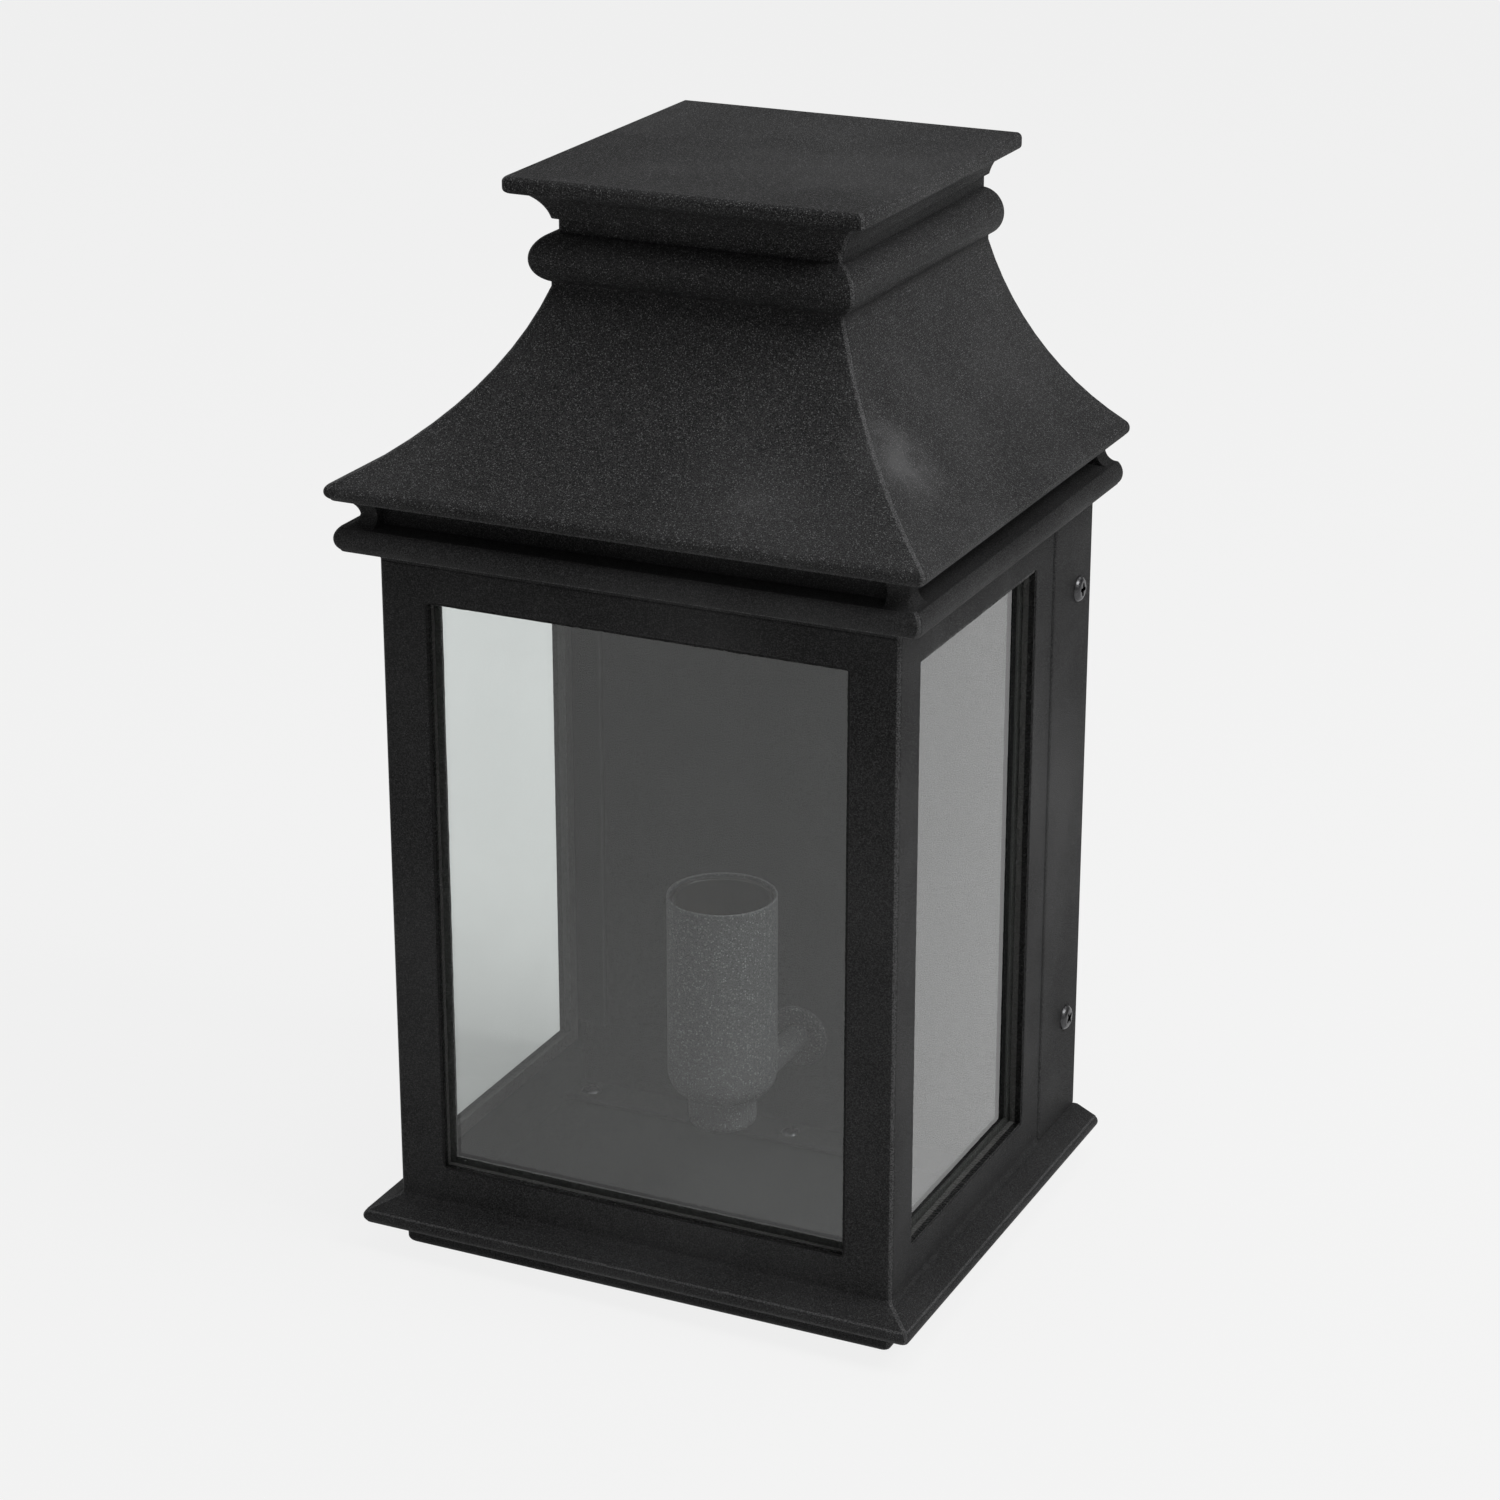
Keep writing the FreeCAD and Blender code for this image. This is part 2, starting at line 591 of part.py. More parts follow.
def screw_shell():
    inside = SHELL_RADIUS - SHELL_SHEET
    lip = SHELL_RADIUS + SHELL_LIP
    low = BORE_FLOOR + SHELL_FLOOR_GAP
    steps = [
        (SHELL_RADIUS, low),
        (SHELL_RADIUS, RING_BASE),
        (lip, RING_BASE),
        (lip, RING_BASE + SHELL_SHEET),
        (inside, RING_BASE + SHELL_SHEET),
    ]
    return turned((inside, low), steps, LAMP_AXIS, Z_AXIS)


def centre_contact():
    half = CONTACT_LENGTH / 2
    foot = half / 4
    tip = BORE_FLOOR + CONTACT_LIFT
    steps = [
        (foot, BORE_FLOOR),
        (half, tip),
        (half, tip + CONTACT_SHEET),
        (foot, BORE_FLOOR + CONTACT_SHEET),
        (-half, BORE_FLOOR + CONTACT_SHEET),
    ]
    face = outline((-half, BORE_FLOOR), steps, lambda u, z: vec(-CONTACT_WIDTH / 2, LAMP_Y + u, z))
    return face.extrude(X_AXIS * CONTACT_WIDTH)


def lamp_nipple():
    tube = rod(NIPPLE_RADIUS, NIPPLE_LENGTH, vec(0, LAMP_Y, NIPPLE_BASE), Z_AXIS)
    return tube.cut(rod(NIPPLE_BORE, NIPPLE_LENGTH, vec(0, LAMP_Y, NIPPLE_BASE), Z_AXIS))


ARM_START_Y = LAMP_Y + KNUCKLE_RADIUS - ARM_SOCKET
ARM_END_Y = PAN_BACK_Y + ARM_TAIL


def lamp_knuckle():
    steps = [
        (KNUCKLE_RADIUS - KNUCKLE_ROUND, KNUCKLE_BASE),
        (KNUCKLE_RADIUS, KNUCKLE_BASE + KNUCKLE_ROUND, -cove(KNUCKLE_ROUND)),
        (KNUCKLE_RADIUS, CUP_BASE_HEIGHT),
        (0, CUP_BASE_HEIGHT),
    ]
    shape = turned((0, KNUCKLE_BASE), steps, LAMP_AXIS, Z_AXIS)
    shape = shape.cut(rod(NIPPLE_RADIUS + THREAD_FIT, NIPPLE_SINK, vec(0, LAMP_Y, NIPPLE_BASE), Z_AXIS))
    shape = shape.cut(rod(ARM_RADIUS + THREAD_FIT, ARM_SOCKET, vec(0, ARM_START_Y, ARM_HEIGHT), Y_AXIS))
    return shape.cut(rod(WIRE_WAY_RADIUS, ARM_START_Y - LAMP_Y, vec(0, LAMP_Y, ARM_HEIGHT), Y_AXIS))


def lamp_arm():
    start = vec(0, ARM_START_Y, ARM_HEIGHT)
    length = ARM_END_Y - ARM_START_Y
    return rod(ARM_RADIUS, length, start, Y_AXIS).cut(rod(ARM_RADIUS - ARM_WALL, length, start, Y_AXIS))


def arm_rosette():
    hole = ARM_RADIUS + THREAD_FIT
    steps = [
        (ROSETTE_RADIUS, 0),
        (ROSETTE_RADIUS, ROSETTE_THICKNESS - ROSETTE_ROUND),
        (ROSETTE_RADIUS - ROSETTE_ROUND, ROSETTE_THICKNESS, -cove(ROSETTE_ROUND)),
        (hole, ROSETTE_THICKNESS),
    ]
    return turned((hole, 0), steps, vec(0, SEAM_Y, ARM_HEIGHT), Y_AXIS * -1)


def arm_washer():
    base = vec(0, PAN_BACK_Y, ARM_HEIGHT)
    ring = rod(WASHER_RADIUS, WASHER_THICKNESS, base, Y_AXIS)
    return ring.cut(rod(ARM_RADIUS + THREAD_FIT, WASHER_THICKNESS, base, Y_AXIS))


def arm_nut():
    base = vec(0, PAN_BACK_Y + WASHER_THICKNESS, ARM_HEIGHT)
    corner = NUT_FLATS / math.sqrt(3)
    turns = [math.radians(60 * step) for step in range(7)]
    points = [base + X_AXIS * corner * math.cos(turn) + Z_AXIS * corner * math.sin(turn) for turn in turns]
    nut = Part.Face(Part.makePolygon(points)).extrude(Y_AXIS * NUT_THICKNESS)
    return nut.cut(rod(ARM_RADIUS + THREAD_FIT, NUT_THICKNESS, base, Y_AXIS))


# Wiring pieces
def pole_places():
    pitch = BLOCK_WIDTH / BLOCK_POLES
    middle = (BLOCK_POLES - 1) / 2
    return [(index - middle) * pitch for index in range(BLOCK_POLES)]


def block_screw_places():
    offset = BLOCK_WIDTH / BLOCK_POLES / 2
    return (-offset, offset)


def terminal_screw_seats():
    y = BRACKET_FACE_Y - BLOCK_DEPTH + POLE_SCREW_SINK
    rows = (BLOCK_CENTRE - BLOCK_HEIGHT / 4, BLOCK_CENTRE + BLOCK_HEIGHT / 4)
    return [vec(x, y, z) for x in pole_places() for z in rows]


def terminal_block():
    front = BRACKET_FACE_Y - BLOCK_DEPTH
    half = BLOCK_WIDTH / 2
    low = BLOCK_CENTRE - BLOCK_HEIGHT / 2
    high = BLOCK_CENTRE + BLOCK_HEIGHT / 2
    shape = block((-half, front, low), (half, BRACKET_FACE_Y, high))
    for x in pole_places():
        shape = shape.cut(rod(WIRE_HOLE_RADIUS, BLOCK_HEIGHT, vec(x, front + BLOCK_DEPTH / 2, low), Z_AXIS))
    well = POLE_SCREW_RADIUS + THREAD_FIT
    for seat in terminal_screw_seats():
        depth = POLE_SCREW_SINK + POLE_SCREW_LENGTH
        shape = shape.cut(rod(well, depth, seat - Y_AXIS * POLE_SCREW_SINK, Y_AXIS))
    head = BLOCK_SCREW_THREAD * HEAD_WIDTH_FACTOR / 2 + CLEARANCE_FIT
    for x in block_screw_places():
        spot = vec(x, front, BLOCK_CENTRE)
        shape = shape.cut(rod(BLOCK_SCREW_THREAD / 2 + CLEARANCE_FIT, BLOCK_DEPTH, spot, Y_AXIS))
        shape = shape.cut(rod(head, BLOCK_DEPTH - BLOCK_SCREW_SEAT, spot, Y_AXIS))
    return shape


def terminal_screw(seat):
    screw = rod(POLE_SCREW_RADIUS, POLE_SCREW_LENGTH, seat, Y_AXIS)
    half = POLE_SCREW_RADIUS / 5
    depth = POLE_SCREW_LENGTH / 4
    slot = block(
        (seat.x - 2 * POLE_SCREW_RADIUS, seat.y - depth, seat.z - half),
        (seat.x + 2 * POLE_SCREW_RADIUS, seat.y + depth, seat.z + half),
    )
    return screw.cut(slot)


def block_screw(x):
    seat = vec(x, BRACKET_FACE_Y - BLOCK_SCREW_SEAT, BLOCK_CENTRE)
    length = BLOCK_SCREW_SEAT + BRACKET_SHEET - THREAD_FIT
    return pan_screw(BLOCK_SCREW_THREAD, length, seat, Y_AXIS * -1)


def earth_washer():
    base = vec(0, BRACKET_FACE_Y, ORIGIN_HEIGHT - EARTH_DROP)
    ring = rod(EARTH_WASHER_RADIUS, EARTH_WASHER_THICKNESS, base, Y_AXIS * -1)
    return ring.cut(rod(SMALL_THREAD / 2 + CLEARANCE_FIT, EARTH_WASHER_THICKNESS, base, Y_AXIS * -1))


def earth_screw():
    seat = vec(0, BRACKET_FACE_Y - EARTH_WASHER_THICKNESS, ORIGIN_HEIGHT - EARTH_DROP)
    length = EARTH_WASHER_THICKNESS + BRACKET_SHEET - THREAD_FIT
    return pan_screw(SMALL_THREAD, length, seat, Y_AXIS * -1)


def cable_grommet():
    outside = CABLE_HOLE / 2 - THREAD_FIT
    lip = CABLE_HOLE / 2 + GROMMET_LIP
    bore = GROMMET_BORE / 2
    steps = [
        (outside, 0),
        (outside, BRACKET_SHEET),
        (lip, BRACKET_SHEET),
        (lip, BRACKET_SHEET + GROMMET_LIP_THICKNESS),
        (bore, BRACKET_SHEET + GROMMET_LIP_THICKNESS),
    ]
    return turned((bore, 0), steps, vec(0, 0, ORIGIN_HEIGHT), Y_AXIS * -1)


def save(name, shape):
    placed = shape.copy()
    placed.translate(vec(0, 0, -ORIGIN_HEIGHT))
    placed.exportStep("parts/" + name + ".step")


def save_group(name, shapes):
    save(name, Part.makeCompound(shapes))


front_pane, front_seal = front_glass()
right_pane, right_seal = right_glass()

save("roof_casting", roof_casting())
save("body_casting", body_casting())
save("back_pan", back_pan())
save("wall_bracket", wall_bracket())
save("front_pane", front_pane)
save("left_pane", mirrored(right_pane))
save("right_pane", right_pane)
save("front_seal", front_seal)
save("left_seal", mirrored(right_seal))
save("right_seal", right_seal)
save("lampholder_cup", lampholder_cup())
save("lampholder_insert", lampholder_insert())
save("lampholder_ring", lampholder_ring())
save("screw_shell", screw_shell())
save("centre_contact", centre_contact())
save("lamp_nipple", lamp_nipple())
save("lamp_knuckle", lamp_knuckle())
save("lamp_arm", lamp_arm())
save("arm_rosette", arm_rosette())
save("arm_washer", arm_washer())
save("arm_nut", arm_nut())
save("terminal_block", terminal_block())
save_group("terminal_screws", [terminal_screw(seat) for seat in terminal_screw_seats()])
save_group("block_screws", [block_screw(x) for x in block_screw_places()])
save("earth_washer", earth_washer())
save("earth_screw", earth_screw())
save("cable_grommet", cable_grommet())
save_group("side_screws", [pan_screw(SIDE_THREAD, SIDE_LENGTH, seat, axis) for seat, axis in side_screw_seats()])
save_group("pan_screws", [pan_screw(SMALL_THREAD, PAN_SCREW_LENGTH, seat, Z_AXIS) for seat in pan_screw_seats()])
save_group(
    "roof_screws",
    [pan_screw(SMALL_THREAD, ROOF_SCREW_LENGTH, seat, Z_AXIS * -1) for seat in roof_screw_seats()],
)
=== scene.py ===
"""A cast wall lantern with three glass windows, dressed for rendering around its CAD frame."""

import math
from typing import NamedTuple

import bmesh
import bpy
from bpy.props import FloatProperty, FloatVectorProperty, IntProperty, PointerProperty
from mathutils import Matrix, Vector, noise


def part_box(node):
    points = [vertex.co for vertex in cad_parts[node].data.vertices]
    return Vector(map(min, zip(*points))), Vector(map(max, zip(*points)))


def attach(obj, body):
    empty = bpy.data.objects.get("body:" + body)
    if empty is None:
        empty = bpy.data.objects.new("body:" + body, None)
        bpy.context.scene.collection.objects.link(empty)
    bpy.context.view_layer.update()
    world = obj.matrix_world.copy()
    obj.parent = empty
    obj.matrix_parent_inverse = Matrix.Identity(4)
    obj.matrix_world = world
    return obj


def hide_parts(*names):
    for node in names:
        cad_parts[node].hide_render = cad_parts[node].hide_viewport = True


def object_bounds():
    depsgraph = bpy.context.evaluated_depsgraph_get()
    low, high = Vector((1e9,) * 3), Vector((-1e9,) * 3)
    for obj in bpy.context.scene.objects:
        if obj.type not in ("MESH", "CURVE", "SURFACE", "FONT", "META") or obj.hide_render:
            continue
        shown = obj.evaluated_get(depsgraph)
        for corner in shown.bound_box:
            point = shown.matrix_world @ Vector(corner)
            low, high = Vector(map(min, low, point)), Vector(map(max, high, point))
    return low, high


bl_info = {
    "name": "Cast wall lantern",
    "version": (1, 0, 0),
    "blender": (4, 5, 0),
    "location": "View3D > Sidebar > Lantern",
    "description": "Builds a cast wall lantern, its glass, lampholder and fixings, and a plain studio",
    "category": "Object",
}

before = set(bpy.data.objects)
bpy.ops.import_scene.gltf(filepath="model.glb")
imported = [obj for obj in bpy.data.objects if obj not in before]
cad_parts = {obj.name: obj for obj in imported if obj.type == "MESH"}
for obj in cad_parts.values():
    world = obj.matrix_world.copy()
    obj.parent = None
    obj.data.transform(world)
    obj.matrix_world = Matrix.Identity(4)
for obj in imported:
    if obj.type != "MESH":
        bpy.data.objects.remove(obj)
CAD_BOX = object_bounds()
PLINTH_BOTTOM = CAD_BOX[0].z

# Units, directions and steps of drawing
MM = 0.001
X_AXIS = Vector((1, 0, 0))
Y_AXIS = Vector((0, 1, 0))
Z_AXIS = Vector((0, 0, 1))
QUARTER = math.pi / 2
QUARTER_BULGE = 1 - math.sqrt(0.5)
ARC_STEP = math.radians(9)
SLOPE_ARC_STEP = math.radians(4)
THREAD_ARC_STEP = math.radians(30)
ARRIS_RADIUS = 1.0 * MM
NEAR = 1e-7
FLUSH = 1e-6
ALONG = 0.99
ACROSS = 0.1

# Heights above the plinth's underside
FLOOR_TOP = 4.5 * MM
PLINTH_TOP = 10.8 * MM
NOSE_UNDER = 11.75 * MM
NOSE_TOP = 16.1 * MM
FLANGE_TOP = 20.2 * MM
NIPPLE_SEAT = 61.0 * MM
SIDE_SCREW_HEIGHTS = (62.4 * MM, 237.7 * MM)
CORNICE_START = 271.4 * MM
CORNICE_UNDER = 276.1 * MM
CEILING = 284.4 * MM
CORNICE_TOP = 285.0 * MM
GAP_FLOOR = CORNICE_TOP + 0.5 * MM
BODY_TOP = 288.9 * MM
EAVE_UNDER = 295.0 * MM
EAVE_TOP = 301.0 * MM

# Plinth, base flange and cornice, out from the body
PLINTH_IN = 1.0 * MM
PLINTH_ROUND = 3.0 * MM
NOSE_OUT = 10.3 * MM
NOSE_EDGE = 0.5 * MM
NOSE_BULGE = 0.85 * MM
NOSE_TURN = 0.6 * MM
NOSE_TURN_BULGE = 0.12 * MM
FRAME_COVE = 2.4 * MM
CORNICE_COVE = 2.8 * MM
CORNICE_OUT = 10.1 * MM
CORNICE_CROWN = 9.9 * MM
CORNICE_EDGE = 0.5 * MM
CORNICE_BULGE = 1.95 * MM

# Shadow gap under the eave and its posts
GAP_WALL = 1.0 * MM
ROOF_GAP_WALL = 0.8 * MM
NECK_OUT = 4.7 * MM
POST_FOOT = 9.8 * MM
POST_FOOT_HOLLOW = 1.2 * MM
POST_HEAD_IN = 2.4 * MM
POST_HEAD_HOLLOW = 1.8 * MM
CORNER_POST = 3.0 * MM
REAR_POST = 9.0 * MM

# Roof
EAVE_NOSE = 1.8 * MM
EAVE_BULGE = 1.77 * MM
EAVE_LIP = 0.6 * MM
EAVE_RING = 8.0 * MM
FILLET = 1.8 * MM
TORUS_HEIGHT = 17.5 * MM
TORUS_BULGE = 7.1 * MM
NECK_IN = 2.2 * MM
NECK_HEIGHT = 5.0 * MM
CAVETTO_HEIGHT = 10.0 * MM
CAVETTO_LEDGE = 2.0 * MM
CAVETTO_OUT = 10.0 * MM
CAVETTO_HOLLOW = 1.4 * MM
SLAB_HEIGHT = 6.2 * MM
SLAB_OUT = 12.2 * MM
SLAB_EDGE = 2.0 * MM
SLAB_WALL = 4.5 * MM
CROWN_WALL = 6.5 * MM
REAR_WALL = 4.5 * MM
HOLLOW_SHOULDER = 5.0 * MM
HOLLOW_FOOT = 17.5 * MM
HOLLOW_SAG = 4.7 * MM

# Windows, and the plates inside the body
WINDOW_CORNER = 2.0 * MM
WINDOW_CORNER_SEGMENTS = 4
HATCH_MARGIN = 22.0 * MM
RETURN_WIDTH = 12.0 * MM
RETURN_ARRIS = 0.5 * MM

# Folded pan
SHEET = 1.5 * MM
SHEET_ARRIS = 0.25 * MM
PAN_INSET = 1.0 * MM
PAN_GAP = 0.4 * MM
PAN_LAP = 0.3 * MM
PAN_BEND = 2.5 * MM
FLANGE_DEPTH = 16.0 * MM
FLANGE_BEND = 1.0 * MM
TONGUE_GAP = 0.3 * MM
TONGUE_ARRIS = 0.2 * MM
BEND_SEGMENTS = 5
SHARP_FOLD = 1.2

# Glass and sealant
PANE_ARRIS = 0.3 * MM
PANE_OVERLAP = 3.0 * MM
BED_SHOW = 0.5 * MM
BED_WAVE = 0.3 * MM
LINING_LAP = 0.3 * MM
LINING_STOP = 0.4 * MM
LINING_WAVE = 0.14 * MM
BLACK_BAND = 0.85 * MM
PALE_BAND = 0.75 * MM
PALE_SHARE = 0.4
SMEAR_SHOW = 2.4 * MM
SMEAR_THICK = 0.8 * MM
SMEAR_GAP = 0.05 * MM
EDGE_CUTS = 70
BAND_CUTS = 3
LONG_WAVES = 130
SHORT_WAVES = 520
SHORT_WAVE_SHARE = 0.45

# Pan-head screws, in shares of the thread's diameter
TIP_RADIUS = 0.42
TIP_HEIGHT = 0.1
SHANK_RADIUS = 0.5
HEAD_LIP = 0.08
HEAD_SIDE = 0.3
HEAD_FLAT = 0.62
HEAD_HEIGHT = 0.68
HEAD_CROWN = 0.06
RECESS_SPAN = 0.5
RECESS_WIDTH = 0.13
RECESS_DEPTH = 0.42
RECESS_TAPER = 0.8

# Threads, shanks and places of the screws
SIDE_SCREW = (5.0 * MM, 10.0 * MM)
SIDE_SCREW_DEPTH = 12.2 * MM
FLANGE_SCREW = (4.0 * MM, 4.5 * MM)
FLANGE_SCREW_IN = 7.3 * MM
FLANGE_SCREW_DEPTH = 8.0 * MM
ROOF_SCREW = (4.0 * MM, 14.0 * MM)
ROOF_SCREW_IN = 12.0 * MM
SCREW_SIDES = 40
FIRST_TURN = 0.35
NEXT_TURN = 0.9

# Lampholder
CUP_WALL = 1.0 * MM
CUP_ROUND = 10.0 * MM
CUP_LIP = 0.4 * MM
NIPPLE_HOLE = 5.1 * MM
FIT_GAP = 0.1 * MM
RING_DROP = 1.5 * MM
RING_HEIGHT = 18.0 * MM
RING_MOUTH = 18.3 * MM
RING_LIP = 2 * CUP_LIP
SOCKET_FLOOR = 22.0 * MM
CONTACT_HOLE = 3.4 * MM
SHELL_RADIUS = 13.85 * MM
SHELL_SHEET = 0.5 * MM
SHELL_RIM = 1.5 * MM
SHELL_RISE = 3.4 * MM
THREAD_RINGS = 10
THREAD_WAVE = 0.30 * MM

# Lamp arm
KNUCKLE_RADIUS = 12.9 * MM
KNUCKLE_HEIGHT = 12.1 * MM
KNUCKLE_ROUND = 2.5 * MM
KNUCKLE_EDGE = 0.5 * MM
ARM_DROP = 6.05 * MM
ARM_RADIUS = 5.0 * MM
ARM_BORE = 3.9 * MM
ARM_SOCKET = 6.6 * MM
ARM_TAIL = 13.5 * MM
ROSETTE_RADIUS = 12.5 * MM
ROSETTE_HOLE = 5.1 * MM
ROSETTE_THICK = 3.0 * MM
ROSETTE_ROUND = 1.2 * MM
ROSETTE_BEVEL = 0.5 * MM

# Finishes: the heights in the frame between which the coat changes at the eave, with the grain painted
# stronger and the painted glints in full above it, and the two coats' grain
EAVE_FADE = (0.135, 0.150)
ROOF_LIT_GRAIN = 1.25
CAST_GRAIN = 2200.0
CAST_GRAIN_DEPTH = 0.22 * MM
CAST_LOW_GLINTS = 0.3
# Grain of the lampholder's lighter coat, a copy that paints light inside the lantern
HOLDER_GRAIN = 1700.0
HOLDER_GRAIN_DEPTH = 0.18 * MM
HOLDER_LOW_GLINTS = 1.0


class Scuff(NamedTuple):
    """A soft pale patch on the roof, the one beside the right hip being a painted highlight: its middle, its
    radius and how far it shows.
    """

    centre: tuple
    radius: float
    share: float


# Pale patches on the roof: a lighter patch on the front slope, and a painted highlight beside the right hip
PALE_PATCHES = (
    Scuff((0.046, -0.172, 0.157), 0.026, 0.7),
    Scuff((0.081, -0.143, 0.168), 0.026, 1.35),
)


class Lamp(NamedTuple):
    """A round lamp: the setting that holds its power, its place, the spot it is aimed at and its width."""

    setting: str
    place: tuple
    aim: tuple
    width: float


# Studio
LAMPS = (
    Lamp("key", (1.35, -0.15, 1.45), (0, -0.09, 0.05), 0.9),
    Lamp("top", (0.3, -0.36, 1.85), (0, -0.09, 0.05), 0.9),
    Lamp("rim", (0.7, 1.35, 1.35), (0, -0.09, 0.12), 0.7),
)
CAMERA_PLACE = (574.4 * MM, -1308.0 * MM, 703.9 * MM + PLINTH_BOTTOM)
CAMERA_YAW = math.radians(-25.169)
CAMERA_PITCH = math.radians(-21.104)
SENSOR_WIDTH = 36.0
CLIP_END = 60.0
FLOOR_HALF = 12.0
FLOOR_DROP = 0.1 * MM
FLOOR_TINT = (0.84, 0.84, 0.83, 1)
FLOOR_SEEN = 0.93
# Directions along which the floor's painted glow grows, through the glass and in reflections
BEHIND = (0.4, 0.9, 0.0)
ASIDE = (1.0, 0.3, 0.0)


def length(name, description, millimetres):
    """A length that a user may change."""
    return FloatProperty(
        name=name, description=description, default=millimetres * MM, min=0, precision=4, unit="LENGTH"
    )


def colour(name, description, value):
    """A colour that a user may change."""
    return FloatVectorProperty(
        name=name, description=description, default=value, size=3, min=0, max=1, subtype="COLOR"
    )


def power(name, description, watts):
    """A lamp's power that a user may change."""
    return FloatProperty(name=name, description=description, default=watts, min=0, subtype="POWER")


class LanternSizes(bpy.types.PropertyGroup):
    """Sizes of the castings, the glass and the lampholder."""

    body_width: length("Body width", "Width of the straight body across the wall", 200.0)
    body_depth: length("Body depth", "Depth of the straight body from the wall", 180.7)
    wall: length("Wall", "Thickness of the castings", 4.0)
    corner_round: length("Corner round", "Radius of the castings' upright corners and hips", 2.0)
    arris: length("Arris", "Width of the small round on sharp edges", 0.7)
    sill_height: length("Sill height", "Lower edge of the windows above the plinth's underside", 35.5)
    window_height: length("Window height", "Height of the windows", 222.7)
    front_stile: length("Front stile", "Width of the frame beside the front window", 18.5)
    side_front_stile: length("Side front stile", "Width of the frame in front of a side window", 18.0)
    rear_stile: length("Rear stile", "Width of the frame behind a side window", 16.3)
    eave_out: length("Eave", "How far the eave stands out from the body", 14.0)
    side_inset: length("Side inset", "How far the roof draws in at the sides", 57.5)
    front_inset: length("Front inset", "How far the roof draws in at the front", 64.0)
    roof_rise: length("Roof rise", "Height of the hollow roof slope", 62.3)
    roof_sag: length("Roof sag", "Depth of the hollow in the roof slope", 8.0)
    pan_depth: length("Pan depth", "Depth of the folded pan behind the seam", 38.7)
    lamp_setback: length("Lamp setback", "Lampholder's axis behind the body's front", 71.9)
    cup_radius: length("Cup radius", "Outer radius of the lampholder's cup", 20.7)
    cup_base: length("Cup base", "Underside of the cup above the plinth's underside", 53.0)
    cup_height: length("Cup height", "Height of the cup", 81.1)
    turned_sides: IntProperty(
        name="Turned sides", description="Facets round a turned piece", default=72, min=16, max=160
    )


class LanternFinish(bpy.types.PropertyGroup):
    """Colours of the finishes."""

    coat: colour("Coat", "Black powder coat", (0.0085, 0.0085, 0.0088))
    coat_grain: colour("Coat grain", "Lighter grains of the powder coat", (0.078, 0.078, 0.0792))
    # The lampholder's coat and grain: a lighter copy of the black coat, painted light inside the lantern
    holder_coat: colour("Holder coat", "Thinner coat on the lampholder and its arm", (0.052, 0.052, 0.054))
    holder_grain: colour("Holder grain", "Lighter grains on the lampholder", (0.15, 0.151, 0.154))
    glass: colour("Glass", "Tint of the panes", (0.905, 0.93, 0.922))
    sealant: colour("Sealant", "Black sealant round the panes", (0.003, 0.003, 0.003))
    # Paler grey on the sealant beside and behind the glass
    seal_dust: colour("Sealant dust", "Dust on the sealant beside the glass", (0.060, 0.060, 0.058))
    zinc: colour("Zinc", "Zinc-plated sheet and screws", (0.56, 0.56, 0.54))
    brass: colour("Brass", "Brass contacts and nuts", (0.70, 0.47, 0.18))
    screw: colour("Screw", "Blackened screws", (0.060, 0.060, 0.062))
    black_moulding: colour("Black moulding", "Moulded lampholder", (0.017, 0.015, 0.014))
    white_moulding: colour("White moulding", "Moulded terminal block", (0.72, 0.71, 0.67))
    rubber: colour("Rubber", "Black rubber grommet", (0.022, 0.022, 0.023))


class LanternStudio(bpy.types.PropertyGroup):
    """Camera, lamps and floor."""

    backdrop: colour("Backdrop", "Pale floor as the camera sees it", (0.905, 0.905, 0.905))
    lens: FloatProperty(name="Lens", description="Camera lens in millimetres", default=93.6, min=10, max=400)
    key: power("Key", "Power of the large lamp at the right", 22.5)
    top: power("Top", "Power of the lamp overhead", 10.8)
    rim: power("Rim", "Power of the lamp behind, at the right", 2.6)
    fill: FloatProperty(name="Fill", description="Strength of the light all round", default=0.29, min=0)


# Drawing

def fresh():
    """An empty mesh with room for the notes on sections and arrises."""
    bm = bmesh.new()
    bm.verts.layers.float_vector.new("reach")
    bm.verts.layers.float.new("tight")
    bm.faces.layers.float.new("arris")
    return bm


def verts_in(geom):
    """The vertices among the results of an operator."""
    return [item for item in geom if isinstance(item, bmesh.types.BMVert)]


class Plane(NamedTuple):
    """A drawing plane: a point on it and its two directions."""

    origin: Vector
    across: Vector
    up: Vector

    def spot(self, a, b):
        """The point at two distances along the plane's directions."""
        return self.origin + self.across * a + self.up * b

    def read(self, point):
        """The two distances of a point."""
        step = point - self.origin
        return step.dot(self.across), step.dot(self.up)


def cove(radius):
    """The bulge of a quarter round."""
    return QUARTER_BULGE * radius


def arc(start, end, bulge):
    """Centre, radius and turn of the arc between two points that stands off its chord by a bulge."""
    chord = end - start
    half = chord.length / 2
    radius = (half * half + bulge * bulge) / (2 * abs(bulge))
    left = Vector((-chord.y, chord.x)).normalized()
    centre = (start + end) / 2 + left * (bulge - math.copysign(radius, bulge))
    turn = -math.copysign(4 * math.atan(abs(bulge) / half), bulge)
    return centre, radius, turn


